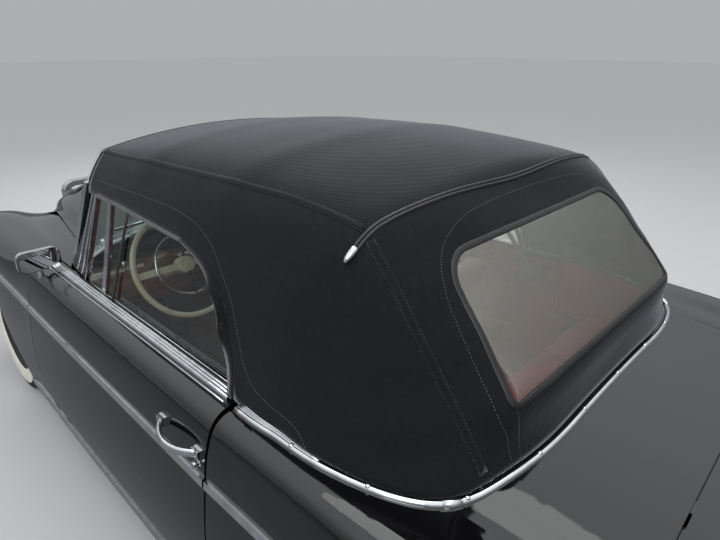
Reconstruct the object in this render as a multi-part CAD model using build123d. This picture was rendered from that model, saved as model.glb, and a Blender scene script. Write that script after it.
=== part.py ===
"""A two-door convertible of the later 1950s with its fabric top up, as an assembly of its real panels.

Millimetres. +X is forward, +Y is the car's left, +Z is up. The origin is on the ground, at the
middle of the overall length and width. The left side is modelled and mirrored to the right.
"""
from build123d import *
import math
import os

# Driving dimensions of the whole car
LENGTH = 4670
WHEELBASE = 2700
FRONT_OVERHANG = 790
FRONT_TRACK = 1430
REAR_TRACK = 1470
FRONT_AXLE_X = LENGTH / 2 - FRONT_OVERHANG
REAR_AXLE_X = FRONT_AXLE_X - WHEELBASE
PANEL_GAP = 6
EASY_FIT = 0.05
RUNNING_GAP = 0.3

# Wheels, 6.70-13
TYRE_RADIUS = 326
TYRE_WIDTH = 170
RIM_RADIUS = 178
RIM_WIDTH = 127
RIM_SHEET = 8
RIM_FLANGE = 16
WHEEL_Z = TYRE_RADIUS
ARCH_RADIUS = 372
FRONT_ARCH_INNER_Y = 430
REAR_ARCH_INNER_Y = 590

# Body openings
DOOR_FRONT_X = 770
DOOR_REAR_X = -560
DOOR_BOTTOM_Z = 290
BELT_Z = 945
DOOR_INNER_Y = 737
DOOR_TOP_INNER_Y = 697
HINGE_Y = (812, 826)
HINGE_Z = (400, 760)
CABIN_HALF_WIDTH = 690
SCUTTLE_REAR_X = 640
FIREWALL_X = 905
FIREWALL_THICKNESS = 25
ENGINE_BAY_HALF_WIDTH = 400
FLOOR_Z = 270
FLOOR_THICKNESS = 20
BONNET_REAR_X = 905
BONNET_FRONT_X = 2118
BONNET_REAR_HALF = 556
BONNET_FRONT_HALF = 316
BONNET_SHEET = 16
LEDGE_DROP = 26
LID_FRONT_X = -1449
LID_HALF_WIDTH = 540
LID_BOTTOM_Z = 600
LID_CORNER = 90
BOOT_HALF_WIDTH = 500
BOOT_FLOOR_Z = 375
BOOT_REAR_X = -2120
AXLE_FLOOR_Z = 545
SEAT_BULKHEAD_X = -1010
REAR_SIDE_X = -790
HOOD_WELL_FRONT_X = -700
TAIL_X = -2225
NOSE_X = 2200

# Side window plane, leaning in from the belt to the top edge
GLASS_BELT_Y = 712
GLASS_BELT_Z = 950
GLASS_TOP_Y = 641
GLASS_TOP_Z = 1285
GLASS_THICKNESS = 5
WINDOW_FRONT_X = 446
VENT_POST_X = 285

# Convertible top
TOP_SKIN = 8
HEADER_CORNER_X = 475
HEADER_CENTRE_X = 580
HEADER_DEPTH = 45
HEADER_TOP_Z = 1396
HEADER_RADIUS = 2110
TOP_BASE_Z = 955
REAR_WINDOW_BOTTOM_X = -1143
REAR_WINDOW_BOTTOM_Z = 1096
REAR_WINDOW_TOP_X = -918
REAR_WINDOW_TOP_Z = 1341
REAR_WINDOW_BOTTOM_HALF = 468
REAR_WINDOW_TOP_HALF = 440
REAR_WINDOW_TOP_CORNER = 85
REAR_WINDOW_BOTTOM_CORNER = 12
BEAD_GAP = 3.6
BEAD_SEAT = 0.6
BEAD_WIDTH = 18
BEAD_HEIGHT = 13

# Steering
KINGPIN_Y = 655
KINGPIN_RADIUS = 14
WHEEL_HUB = (350, 370, 950)
COLUMN_TILT = 28
COLUMN_RADIUS = 22
STEERING_WHEEL_RADIUS = 205
STUB_RADIUS = 20

# Body sections, from the nose to the door.
# columns: x, flank half width, sill z, ridge y, ridge z, valley y, valley z, crown z
FRONT_SECTIONS = [
    (NOSE_X, 560, 440, 455, 738, 290, 722, 872),
    (2140, 738, 385, 592, 828, 322, 772, 926),
    (1960, 820, 300, 662, 884, 368, 822, 954),
    (1545, 853, 220, 698, 914, 442, 870, 982),
    (1100, 863, 195, 726, 932, 522, 902, 1002),
    (DOOR_FRONT_X, 868, 195, 755, 942, 620, 928, 1012),
    (500, 870, 195, 762, BELT_Z, 650, 934, 1016),
]
# columns: x, flank half width, sill z
DOOR_SECTIONS = [
    (900, 866, 195),
    (DOOR_FRONT_X, 868, 195),
    (150, 873, 195),
    (DOOR_REAR_X, 875, 195),
    (-700, 876, 195),
]
# columns: x, flank half width, sill z, ridge y, ridge z, valley y, valley z, crown z
REAR_SECTIONS = [
    (-300, 874, 195, 762, BELT_Z, 650, 940, 962),
    (DOOR_REAR_X, 875, 195, 762, BELT_Z, 650, 938, 966),
    (-1155, 872, 210, 752, 946, 625, 930, 968),
    (-1650, 862, 260, 728, 912, 585, 886, 926),
    (-2000, 806, 315, 680, 852, 535, 818, 856),
    (-2150, 728, 345, 612, 786, 480, 744, 778),
    (TAIL_X, 600, 395, 520, 676, 405, 640, 664),
]
DOOR_RIDGE_Y = 762
FLANK_Z = 560
TUMBLE_HOME = 45
# Where the flank turns in to the wing's ridge: share of the height above FLANK_Z, lean there, heading there
SHOULDER_HEIGHT = 0.68
SHOULDER_LEAN = 0.073
SHOULDER_HEADING = 99
CROWN_START = 0.78
CROWN_START_RISE = 0.5

# Nose, tail and what is under the floor
GUARD_Y = 330
GUARD_REACH = 37
TOW_EYE_RADIUS = 16
TOW_EYE_PLATE = 16
FRONT_TOW_EYE = (2120, -200, 325)
REAR_TOW_EYE = (-2122, 200, 300)
GRILLE_HALF_WIDTH = 225
GRILLE_BOTTOM_Z = 475
GRILLE_TOP_Z = 950
GRILLE_FRAME = 30
GRILLE_DEPTH = 75
GRILLE_SLATS = 12
APRON_HALF_WIDTH = 300
HEADLAMP_Y = 612
HEADLAMP_Z = 706
HEADLAMP_RADIUS = 95
TUNNEL_HALF = 130
TUNNEL_TOP_Z = 430
TUNNEL_SHEET = 12
SPRING_SEAT_Z = 575
ENGINE_BOTTOM_Z = 274
GEARBOX_REAR_X = 790
HOOD_WELL_FLOOR_Z = 720
SILL_BOTTOM_Z = 196

# The top's outline at rising levels.
# columns: z, side y at the front and at the rear, x where the corner starts, corner (x, y, heading), rear x
TOP_LEVELS = [
    (TOP_BASE_Z - 30, 739, 750, -763, (-1150, 549, 259), -1177),
    (TOP_BASE_Z, 733, 743, -763, (-1143, 544, 259), -1170),
    (1101, 693, 702, -735, (-1062, 552, 228), -1143),
    (1260, 650, 657, -690, (-932, 562, 228), -1000),
    (1412, 532, 578, -740, (-822, 555, 231), -842),
    (1540, 400, 470, -650, (-718, 455, 232), -735),
]
# The roof's crown. columns: x, z at the seam, z on the middle
ROOF_SECTIONS = [
    (640, 1378, 1436),
    (391, 1412, 1466),
    (-250, 1444, 1504),
    (-822, 1408, 1452),
    (-960, 1380, 1424),
]
SEAM_Y = 560
# The left side rail of the top's frame, from the header to its hinge behind the door
TOP_RAIL = [(430, 612, 1284), (-160, 612, 1250), (-430, 620, 1110), (-600, 655, 900)]
TOP_RAIL_RADIUS = 9
BOW_RADIUS = 8
BOW_HALF = 500
BOW_RISE = 40
# columns: x of a bow's crest, its height at the sides, x where it stands on the rail
BOWS = [(150, 1406, 150), (-330, 1424, -330), (-800, 1364, -470)]

# Trim, handles and mirror
TRIM_Z = (767, 789)
TRIM_PROUD = 7
SILL_TRIM_Z = (222, 252)
SILL_TRIM_PROUD = 9
TRIM_GAP = PANEL_GAP + 1
BELT_TRIM_REAR_X = -528
HANDLE_X = (-530, -352)
HANDLE_Z = 846
HANDLE_REACH = 44
MIRROR = (668, 800, 1001)
MIRROR_SIZE = (34, 150, 82)
MIRROR_STALK_RADIUS = 11


def box(x0, x1, y0, y1, z0, z1):
    """A block between two corners."""
    return Pos((x0 + x1) / 2, (y0 + y1) / 2, (z0 + z1) / 2) * Box(x1 - x0, y1 - y0, z1 - z0)


def wide(x0, x1, half, z0, z1):
    """A block as wide as two half widths, across the car's middle."""
    return box(x0, x1, -half, half, z0, z1)


def both(shape):
    """A left-hand solid and its mirror image."""
    return Compound([*solids(shape), *solids(mirror(shape, about=Plane.XZ))])


def solids(shape):
    return list(shape.solids())


def heading(angle):
    return Vector(math.cos(math.radians(angle)), math.sin(math.radians(angle)))


def smooth(nodes):
    """Pairs of tangent arcs through nodes of (u, v, heading in degrees)."""
    edges = []
    for (u0, v0, a0), (u1, v1, a1) in zip(nodes, nodes[1:]):
        p, q, t0, t1 = Vector(u0, v0), Vector(u1, v1), heading(a0), heading(a1)
        run, turn = q - p, 2 * (1 - t0.dot(t1))
        ahead = run.dot(t0 + t1)
        if turn < 1e-9:
            reach = run.dot(run) / (4 * run.dot(t0))
        else:
            reach = (math.sqrt(ahead**2 + turn * run.dot(run)) - ahead) / turn
        middle = (p + q + (t0 - t1) * reach) * 0.5
        first = TangentArc(p, middle, tangent=t0)
        edges += [first, TangentArc(middle, q, tangent=first % 1)]
    return edges


def closed(half):
    """A closed wire from the left half of a section, which starts at the bottom and ends on the middle."""
    other = [e.mirror(Plane.YZ) for e in reversed(half)]
    start = half[0] @ 0
    return Wire([*half, *other, Line((-start.X, start.Y), (start.X, start.Y))])


def dome(x0, radius, x1):
    """A spherical cap's profile, from (x0, radius) to the axis at x1."""
    rise = x1 - x0
    sphere = (radius**2 + rise**2) / (2 * rise)
    centre = x1 - sphere
    half_angle = math.atan2(radius, x0 - centre) / 2
    middle = (centre + sphere * math.cos(half_angle), sphere * math.sin(half_angle))
    return ThreePointArc((x0, radius), middle, (x1, 0))


def side_face(wire, y=0):
    return Plane(origin=(0, y, 0), x_dir=(1, 0, 0), z_dir=(0, -1, 0)) * make_face(wire)


def side_prism(wire, y0, y1):
    """A side-view outline (x, z), run across the car from y0 to y1."""
    return extrude(side_face(wire, y0), amount=y0 - y1)


def plan_prism(wire, z0, z1):
    return extrude(Plane.XY.offset(z0) * make_face(wire), amount=z1 - z0)


def front_prism(wire, x0, x1):
    return extrude(Plane.YZ.offset(x0) * make_face(wire), amount=x1 - x0)


def polygon(*points):
    return Polyline(*points, close=True)


def flank(flank_y, sill_z, ridge_y, ridge_z):
    """The outer side of a section: sill, widest line, shoulder and ridge."""
    flank_z = min(FLANK_Z, (sill_z + ridge_z) / 2)
    height = ridge_z - flank_z
    return [
        (flank_y - TUMBLE_HOME, sill_z, 80),
        (flank_y, flank_z, 90),
        (flank_y - SHOULDER_LEAN * height, flank_z + SHOULDER_HEIGHT * height, SHOULDER_HEADING),
        (ridge_y, ridge_z, 180),
    ]


def body_section(row):
    """A closed section of the body: sill, flank, wing ridge, valley and bonnet or deck crown."""
    x, flank_y, sill_z, ridge_y, ridge_z, valley_y, valley_z, crown_z = row
    rise = crown_z - valley_z
    shoulder_y = valley_y * CROWN_START
    shoulder_slope = math.degrees(math.atan2(2 * (1 - CROWN_START_RISE) * rise, shoulder_y))
    half = smooth([
        *flank(flank_y, sill_z, ridge_y, ridge_z),
        (valley_y, valley_z, 180),
        (shoulder_y, valley_z + CROWN_START_RISE * rise, 180 - shoulder_slope),
        (0, crown_z, 180),
    ])
    return Plane.YZ.offset(x) * closed(half)


def door_section(row):
    x, flank_y, sill_z = row
    half = smooth(flank(flank_y, sill_z, DOOR_RIDGE_Y, BELT_Z))
    half.append(Line(half[-1] @ 1, (0, BELT_Z)))
    return Plane.YZ.offset(x) * closed(half)


def hull(rows, section=body_section):
    return Solid.make_loft([section(row) for row in rows], False)


def bonnet_outline(gap):
    """The bonnet's plan, as a prism, grown outwards by gap."""
    wire = polygon(
        (BONNET_REAR_X - gap, BONNET_REAR_HALF + gap),
        (BONNET_FRONT_X + gap, BONNET_FRONT_HALF + gap),
        (BONNET_FRONT_X + gap, -BONNET_FRONT_HALF - gap),
        (BONNET_REAR_X - gap, -BONNET_REAR_HALF - gap),
    )
    prism = plan_prism(wire, 600, 1200)
    return fillet(prism.edges().filter_by(Axis.Z).sort_by(Axis.X)[:2], 60 + gap)


def lid_outline(gap):
    """The boot lid's plan, as a prism that runs off the tail, grown outwards by gap."""
    back = TAIL_X - 200
    half = LID_HALF_WIDTH + gap
    front = LID_FRONT_X + gap
    prism = box(back, front, -half, half, LID_BOTTOM_Z - gap, 1200)
    return fillet(prism.edges().filter_by(Axis.Z).sort_by(Axis.X)[-2:], LID_CORNER + gap)


def door_outline(gap):
    """The door's side view, run across the left side, grown outwards by gap."""
    corner = 70
    top = 1150
    length = DOOR_FRONT_X - DOOR_REAR_X + 2 * gap
    height = top - DOOR_BOTTOM_Z + gap
    place = Pos((DOOR_FRONT_X + DOOR_REAR_X) / 2, top - height / 2)
    return side_prism((place * RectangleRounded(length, height, corner + gap)).wire(), CABIN_HALF_WIDTH, 1000)


def wheel_well(axle_x, inner_y, radius=ARCH_RADIUS):
    """The space of a left wheel, from its inner wall out through the flank."""
    return Pos(axle_x, (inner_y + 1000) / 2, WHEEL_Z) * Rot(90, 0, 0) * Cylinder(radius, 1000 - inner_y)


def front_structure(front):
    """The front end as one piece: wings, nose and scuttle, with the engine bay, wells and footwell cut."""
    reach = 1300
    shape = front - box(0, SCUTTLE_REAR_X, -reach, reach, 0, reach)
    for side in (-1, 1):
        y0, y1 = sorted((side * (CABIN_HALF_WIDTH), side * reach))
        shape -= box(SCUTTLE_REAR_X - 10, DOOR_FRONT_X + PANEL_GAP, y0, y1, 0, reach)
    shape -= bonnet_outline(PANEL_GAP) - front.moved(Location((0, 0, -LEDGE_DROP)))
    shape -= wide(FIREWALL_X + FIREWALL_THICKNESS, BONNET_FRONT_X - 30, BONNET_FRONT_HALF - 20, 100, 1200)
    shape -= wide(FIREWALL_X + FIREWALL_THICKNESS, 1990, ENGINE_BAY_HALF_WIDTH, 100, 860)
    shape -= wide(SCUTTLE_REAR_X - 10, FIREWALL_X, CABIN_HALF_WIDTH, 100, 872)
    shape -= wide(SCUTTLE_REAR_X - 10, FIREWALL_X + FIREWALL_THICKNESS, CABIN_HALF_WIDTH, 100, FLOOR_Z - 15)
    shape -= wide(FIREWALL_X - 10, FIREWALL_X + 40, TUNNEL_HALF, 100, TUNNEL_TOP_Z)
    shape -= wide(FRONT_AXLE_X - 130, FRONT_AXLE_X + 130, FRONT_ARCH_INNER_Y + 5, 0, SPRING_SEAT_Z)
    well = wheel_well(FRONT_AXLE_X, FRONT_ARCH_INNER_Y)
    shape -= well
    shape -= mirror(well, about=Plane.XZ)
    shape -= wide(BONNET_FRONT_X - 60, NOSE_X + 50, GRILLE_HALF_WIDTH + PANEL_GAP,
                  GRILLE_BOTTOM_Z - PANEL_GAP, 1200)
    return shape


def tow_eye(x, y, z, top_z):
    """A plate under the body with a cross hole for a shackle."""
    half = TOW_EYE_RADIUS + 12
    plate = box(x - half, x + half, y - TOW_EYE_PLATE / 2, y + TOW_EYE_PLATE / 2, z - half, top_z)
    plate = fillet(plate.edges().filter_by(Axis.Y).sort_by(Axis.Z)[:2], 20)
    return plate - Pos(x, y, z) * Rot(90, 0, 0) * Cylinder(TOW_EYE_RADIUS, 2 * TOW_EYE_PLATE)


def split_front(shape):
    """Cuts the front end where its panels meet: two wings, the apron below the grille, and the scuttle."""
    far = 3000
    firewall_front = FIREWALL_X + FIREWALL_THICKNESS
    scuttle = shape & wide(0, firewall_front, CABIN_HALF_WIDTH, 0, far)
    apron = shape & wide(firewall_front, far, APRON_HALF_WIDTH, 0, far)
    apron += tow_eye(*FRONT_TOW_EYE, 430)
    left = box(0, far, APRON_HALF_WIDTH, far, 0, far) - box(0, firewall_front, 0, CABIN_HALF_WIDTH, 0, far)
    left_wing = shape & left
    lamp_x = NOSE_X - 14
    bulge = Pos(lamp_x - 80, HEADLAMP_Y, HEADLAMP_Z) * Rot(0, 90, 0) * Cylinder(HEADLAMP_RADIUS + 14, 160)
    bulge = fillet(bulge.edges().sort_by(Axis.X)[-1], 8)
    left_wing = left_wing + bulge
    left_wing -= Pos(lamp_x, HEADLAMP_Y, HEADLAMP_Z) * Rot(0, 90, 0) * Cylinder(HEADLAMP_RADIUS, 90)
    return {"scuttle": scuttle, "front_apron": apron, "front_wings": both(left_wing)}


def surface_z(shape, x, y):
    """Height of a body's upper surface above a place on the ground."""
    hits = shape.find_intersection_points(Axis((x, y, 3000), (0, 0, -1)))
    return max(point.Z for point, _ in hits)


def surface_y(shape, x, z):
    """Half width of a body's left flank at a station and a height."""
    hits = shape.find_intersection_points(Axis((x, 3000, z), (0, -1, 0)))
    return max(point.Y for point, _ in hits)


def hinge_lugs(skin, edge_x, y, gap):
    """Two tongues that reach from a lid's hinged edge to the fixed panel beyond it."""
    z = surface_z(skin, edge_x, y) - BONNET_SHEET / 2
    x0, x1 = sorted((edge_x - gap / abs(gap) * 15, edge_x + gap - gap / abs(gap) * RUNNING_GAP))
    lug = box(x0, x1, y - 20, y + 20, z - 3, z + 3)
    return lug, mirror(lug, about=Plane.XZ)


def bonnet(front):
    skin = front & bonnet_outline(0)
    skin -= front.moved(Location((0, 0, -BONNET_SHEET)))
    return skin.fuse(*hinge_lugs(front, BONNET_REAR_X, 300, -PANEL_GAP))


def grille():
    """The upright chromed shell with its slats, carried on the front edge of the bonnet."""
    x0 = BONNET_FRONT_X
    width, height = 2 * GRILLE_HALF_WIDTH, GRILLE_TOP_Z - GRILLE_BOTTOM_Z
    centre_z = (GRILLE_TOP_Z + GRILLE_BOTTOM_Z) / 2

    def ring(inset, radius, depth, x):
        face = RectangleRounded(width - 2 * inset, height - 2 * inset, radius)
        return extrude(Plane.YZ.offset(x) * (Pos(0, centre_z) * face), amount=depth)

    shell = ring(0, 70, GRILLE_DEPTH, x0)
    shell = fillet(shell.edges().group_by(Axis.X)[-1], 12)
    shell -= ring(GRILLE_FRAME, 45, GRILLE_DEPTH + 20, x0 - 10)
    inner_half = GRILLE_HALF_WIDTH - GRILLE_FRAME + 2
    slats = []
    pitch = (height - 2 * GRILLE_FRAME) / (GRILLE_SLATS + 1)
    for k in range(1, GRILLE_SLATS + 1):
        z = GRILLE_BOTTOM_Z + GRILLE_FRAME + k * pitch
        slats.append(wide(x0 + 30, x0 + 52, inner_half, z - 3, z + 3))
    slats.append(wide(x0 + 26, x0 + 62, 8, GRILLE_BOTTOM_Z + 20, GRILLE_TOP_Z - 20))
    return shell.fuse(*slats)


def rear_structure(rear):
    """The tail as one piece: quarters, deck and tail panel, with cabin, hood well, boot and wells cut."""
    reach = 1300
    shape = rear - wide(DOOR_REAR_X - PANEL_GAP, 0, reach, 0, reach)
    shape -= wide(REAR_SIDE_X, 0, CABIN_HALF_WIDTH, FLOOR_Z, reach)
    shape -= wide(SEAT_BULKHEAD_X, 0, REAR_ARCH_INNER_Y - 25, 0, reach)
    shape -= top_outline_prism(-32, HOOD_WELL_FLOOR_Z, 1200) - wide(HOOD_WELL_FRONT_X, 1000, reach, 0, reach)
    shape -= lid_outline(PANEL_GAP) - rear.moved(Location((LEDGE_DROP * 0.85, 0, -LEDGE_DROP)))
    shape -= wide(-2165, LID_FRONT_X - 26, BOOT_HALF_WIDTH, BOOT_FLOOR_Z + 180, 1200)
    shape -= wide(BOOT_REAR_X, -1480, BOOT_HALF_WIDTH, BOOT_FLOOR_Z, 840)
    shape -= wide(-1500, -1215, BOOT_HALF_WIDTH, AXLE_FLOOR_Z, 850)
    shape -= wide(-1480, 0, REAR_ARCH_INNER_Y, 0, AXLE_FLOOR_Z - 25)
    shape -= wide(TAIL_X + 35, -1400, REAR_ARCH_INNER_Y, 0, BOOT_FLOOR_Z - 25)
    well = wheel_well(REAR_AXLE_X, REAR_ARCH_INNER_Y)
    shape -= well
    shape -= mirror(well, about=Plane.XZ)
    return shape


def split_rear(shape):
    """Cuts the tail into its two quarters and the centre that carries deck, boot floor and tail panel."""
    far = 3000
    centre = shape & wide(-far, 0, LID_HALF_WIDTH, 0, far)
    centre += tow_eye(*REAR_TOW_EYE, BOOT_FLOOR_Z - 15)
    quarter = shape & box(-far, 0, LID_HALF_WIDTH, far, 0, far)
    return {"quarter_panels": both(quarter), "boot_tub": centre}


def boot_lid(rear):
    skin = rear & lid_outline(0)
    skin -= rear.moved(Location((14, 0, -BONNET_SHEET)))
    return skin.fuse(*hinge_lugs(rear, LID_FRONT_X, 300, PANEL_GAP))


def top_level(z, side_front_y, side_rear_y, side_rear_x, corner, centre_x, inset):
    """One level of the top's plan outline: straight sides, rounded rear corners and a bowed back."""
    corner_x, corner_y, corner_heading = corner
    front_x = 700
    half = [Line((front_x, 0), (front_x, side_front_y + inset))]
    half.append(Line(half[0] @ 1, (side_rear_x, side_rear_y + inset)))
    lean = math.degrees(math.atan2(side_rear_y - side_front_y, side_rear_x - front_x))
    k = inset * 0.707
    half += smooth([
        (side_rear_x, side_rear_y + inset, lean),
        (corner_x - k, corner_y + k, corner_heading),
        (centre_x - inset, 0, 270),
    ])
    other = [e.mirror(Plane.XZ) for e in reversed(half)]
    return Plane.XY.offset(z) * Wire([*half, *other])


def top_outline_prism(inset, z0, z1):
    wire = top_level(0, *TOP_LEVELS[1][1:], inset)
    return plan_prism(wire, z0, z1)


def top_block(inset):
    """The space inside the top's outer form, grown by inset."""
    sides = Solid.make_loft([top_level(row[0], *row[1:], inset) for row in TOP_LEVELS], False)
    sections = []
    for x, seam_z, crown_z in ROOF_SECTIONS:
        drop = (crown_z - seam_z) * (800 / SEAM_Y) ** 2
        edge_z, middle = crown_z - drop + inset, (0, crown_z + inset)
        left, right = (-800, edge_z), (800, edge_z)
        wire = Wire([
            ThreePointArc(left, middle, right),
            Line(right, (800, 900)),
            Line((800, 900), (-800, 900)),
            Line((-800, 900), left),
        ])
        sections.append(Plane.YZ.offset(x) * wire)
    roof = Solid.make_loft(sections, False)
    tail = box(-1400, -955, -800, 800, 900, 1380)
    return (sides & roof) + (sides & tail)


def header_prism(back):
    """Everything ahead of the header's front edge, or of a line this far behind it."""
    reach = 900
    corner = (HEADER_CORNER_X - back, 655)
    centre = (HEADER_CENTRE_X - back, 0)
    arc = ThreePointArc(corner, centre, (corner[0], -corner[1]))
    wire = Wire([
        arc,
        Line((corner[0], -corner[1]), (corner[0] - 20, -reach)),
        Line((corner[0] - 20, -reach), (1200, -reach)),
        Line((1200, -reach), (1200, reach)),
        Line((1200, reach), (corner[0] - 20, reach)),
        Line((corner[0] - 20, reach), corner),
    ])
    return plan_prism(wire, 800, 1700)


def window_curve(inset):
    """The side window's upper and rear edge in side view, from the header to the belt."""
    top = [
        (217, GLASS_TOP_Z + 9 - inset),
        (-190, 1277 - inset),
    ]
    rear = smooth([(-190, 1277 - inset, 187), (-451 + inset, 1150, 236), (-540 + inset, 940, 258)])
    return top, rear


def side_opening():
    """What the top leaves open over each door, run across the whole car."""
    (front_x, front_z), (bend_x, bend_z) = window_curve(0)[0]
    rear = window_curve(0)[1]
    wire = Wire([
        Line((900, 860), (900, front_z)),
        Line((900, front_z), (front_x, front_z)),
        Line((front_x, front_z), (bend_x, bend_z)),
        *rear,
        Line(rear[-1] @ 1, ((rear[-1] @ 1).X, 860)),
        Line(((rear[-1] @ 1).X, 860), (900, 860)),
    ])
    return side_prism(wire, -1000, 1000)


def rear_window_plane():
    """A plane on the sloping back of the top, its x to the left and its y up the slope."""
    rise, run = REAR_WINDOW_TOP_Z - REAR_WINDOW_BOTTOM_Z, REAR_WINDOW_TOP_X - REAR_WINDOW_BOTTOM_X
    slope = Vector(run, 0, rise).normalized()
    middle_z = (REAR_WINDOW_BOTTOM_Z + REAR_WINDOW_TOP_Z) / 2
    middle_x = (REAR_WINDOW_BOTTOM_X + REAR_WINDOW_TOP_X) / 2
    return Plane(origin=(middle_x, 0, middle_z), x_dir=(0, -1, 0), z_dir=Vector(0, -1, 0).cross(slope)), slope


def rear_window_prism(inset, depth=130):
    plane, slope = rear_window_plane()
    half_height = (REAR_WINDOW_TOP_Z - REAR_WINDOW_BOTTOM_Z) / 2 / slope.Z
    low, high = -half_height + inset, half_height - inset
    bottom, top = REAR_WINDOW_BOTTOM_HALF - inset, REAR_WINDOW_TOP_HALF - inset
    outline = make_face(polygon((-bottom, low), (bottom, low), (top, high), (-top, high)))
    outline = fillet(outline.vertices().sort_by(Axis.Y)[-2:], REAR_WINDOW_TOP_CORNER)
    outline = fillet(outline.vertices().sort_by(Axis.Y)[:2], REAR_WINDOW_BOTTOM_CORNER)
    return extrude(plane * outline, amount=depth, both=True)


def top_fabric(outer, rear):
    skin = outer - top_block(-TOP_SKIN)
    windscreen_line = front_prism(Wire([
        ThreePointArc((-720, header_z(720, -0.3)), (0, header_z(0, -0.3)), (720, header_z(720, -0.3))),
        Line((720, header_z(720, -0.3)), (720, 800)),
        Line((720, 800), (-720, 800)),
        Line((-720, 800), (-720, header_z(720, -0.3))),
    ]), 300, 900)
    header = outer & header_prism(HEADER_DEPTH)
    shape = skin + header - windscreen_line
    shape -= header_prism(0)
    shape -= side_opening()
    shape -= box(-600, 900, -640, 640, 900, 1180)
    shape = shape - wide(-2000, 2000, 900, 800, BELT_Z - 15) - rear
    shape -= wide(DOOR_REAR_X - PANEL_GAP, 0, 900, 800, BELT_Z + PANEL_GAP)
    return shape - rear_window_prism(0)


def rear_window(outer):
    pane = outer - top_block(-3)
    return pane.moved(Location((1.5, 0, -1))) & rear_window_prism(0)


def windscreen_slab(front, back):
    """A leaning, bowed slab between two distances ahead of the glass line."""
    low_z, high_z, rake = 900, 1460, 0.45
    low_y, high_y = 707, 613
    loops = []
    for z, y in ((low_z, low_y), (high_z, high_y)):
        corner, centre = 658 - rake * (z - low_z), 788 - rake * (z - low_z)
        outer = ThreePointArc((corner + front, y + 40), (centre + front, 0), (corner + front, -y - 40))
        inner = ThreePointArc((corner + back, y + 40), (centre + back, 0), (corner + back, -y - 40))
        wire = Wire([
            outer,
            Line(outer @ 1, inner @ 1),
            inner,
            Line(inner @ 0, outer @ 0),
        ])
        loops.append(Plane.XY.offset(z) * wire)
    return Solid.make_loft(loops, True)


def header_z(y, inset=0):
    """Height of the windscreen's upper edge at a distance from the middle."""
    return HEADER_TOP_Z - inset - HEADER_RADIUS + math.sqrt(HEADER_RADIUS**2 - y**2)


def windscreen_outline(inset):
    corner_y, base_y = 636 - inset, 700 - inset
    corner_z = header_z(corner_y, inset)
    wire = Wire([
        ThreePointArc((corner_y, corner_z), (0, header_z(0, inset)), (-corner_y, corner_z)),
        Line((-corner_y, corner_z), (-base_y, 880)),
        Line((-base_y, 880), (base_y, 880)),
        Line((base_y, 880), (corner_y, corner_z)),
    ])
    return front_prism(wire, 200, 1200)


def windscreen(front):
    """The chromed frame, seated on the scuttle, and the pane inside it."""
    seal_rise = 22
    opening = windscreen_outline(26) - front.moved(Location((0, 0, seal_rise)))
    frame = (windscreen_slab(16, -16) & windscreen_outline(0)) - front - opening
    pane = windscreen_slab(3, -3) & opening
    return {"windscreen_frame": frame, "windscreen_glass": pane}


def glass_plane():
    """The left side window's plane: x runs to the rear, y up the glass."""
    lean = Vector(0, GLASS_TOP_Y - GLASS_BELT_Y, GLASS_TOP_Z - GLASS_BELT_Z).normalized()
    x_dir = Vector(-1, 0, 0)
    return Plane(origin=(0, GLASS_BELT_Y, GLASS_BELT_Z), x_dir=x_dir, z_dir=x_dir.cross(lean))


def window_outline(inset):
    """The door's window in side view, inside the top's opening by inset."""
    (front_x, front_z), (bend_x, bend_z) = window_curve(inset)[0]
    rear = window_curve(inset)[1]
    low = GLASS_BELT_Z - 40
    end = rear[-1] @ 1
    foot = (end.X, low)
    return Wire([
        Line((WINDOW_FRONT_X + 26 - inset * 0.5, low), (WINDOW_FRONT_X - 62 - inset * 0.5, front_z)),
        Line((WINDOW_FRONT_X - 62 - inset * 0.5, front_z), (front_x, front_z)),
        Line((front_x, front_z), (bend_x, bend_z)),
        *rear,
        Line(end, foot),
        Line(foot, (WINDOW_FRONT_X + 26 - inset * 0.5, low)),
    ])


def window_parts():
    """Chromed frame and panes of the left door's window, in the leaning plane of the glass."""
    plane = glass_plane()
    slab = extrude(plane * Rectangle(2600, 1400), amount=7, both=True)
    pane_slab = extrude(plane * Rectangle(2600, 1400), amount=GLASS_THICKNESS / 2, both=True)
    clearance = 11
    rail = 13
    outline = side_prism(window_outline(clearance), 560, 800)
    opening = side_prism(window_outline(clearance + rail), 560, 800)
    post = side_prism(polygon((VENT_POST_X + 22, 900), (VENT_POST_X - 6, 900),
                              (VENT_POST_X - 36, 1300), (VENT_POST_X - 8, 1300)), 560, 800)
    frame = (slab & outline) - (opening - post)
    panes = pane_slab & (opening - post)
    return frame, panes


def flank_strip(skin, x0, x1, z0, z1, proud):
    """A strip that follows the left flank, this far proud of it."""
    band = box(x0, x1, 600, 1000, z0, z1)
    return (skin.moved(Location((0, proud, 0))) & band) - skin


def side_trim(front, middle, rear):
    """The chromed flank and sill strips of the fixed body; the doors carry their own lengths."""
    runs = [
        (front, DOOR_FRONT_X + TRIM_GAP, 1905, *TRIM_Z, TRIM_PROUD),
        (rear, -1960, DOOR_REAR_X - TRIM_GAP, *TRIM_Z, TRIM_PROUD),
        (front, DOOR_FRONT_X + TRIM_GAP, 1150, *SILL_TRIM_Z, SILL_TRIM_PROUD),
        (middle, DOOR_REAR_X - PANEL_GAP, DOOR_FRONT_X + PANEL_GAP, *SILL_TRIM_Z, SILL_TRIM_PROUD),
        (rear, -760, DOOR_REAR_X - TRIM_GAP, *SILL_TRIM_Z, SILL_TRIM_PROUD),
    ]
    return both(Compound([piece for run in runs for piece in solids(flank_strip(*run))]))


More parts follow.
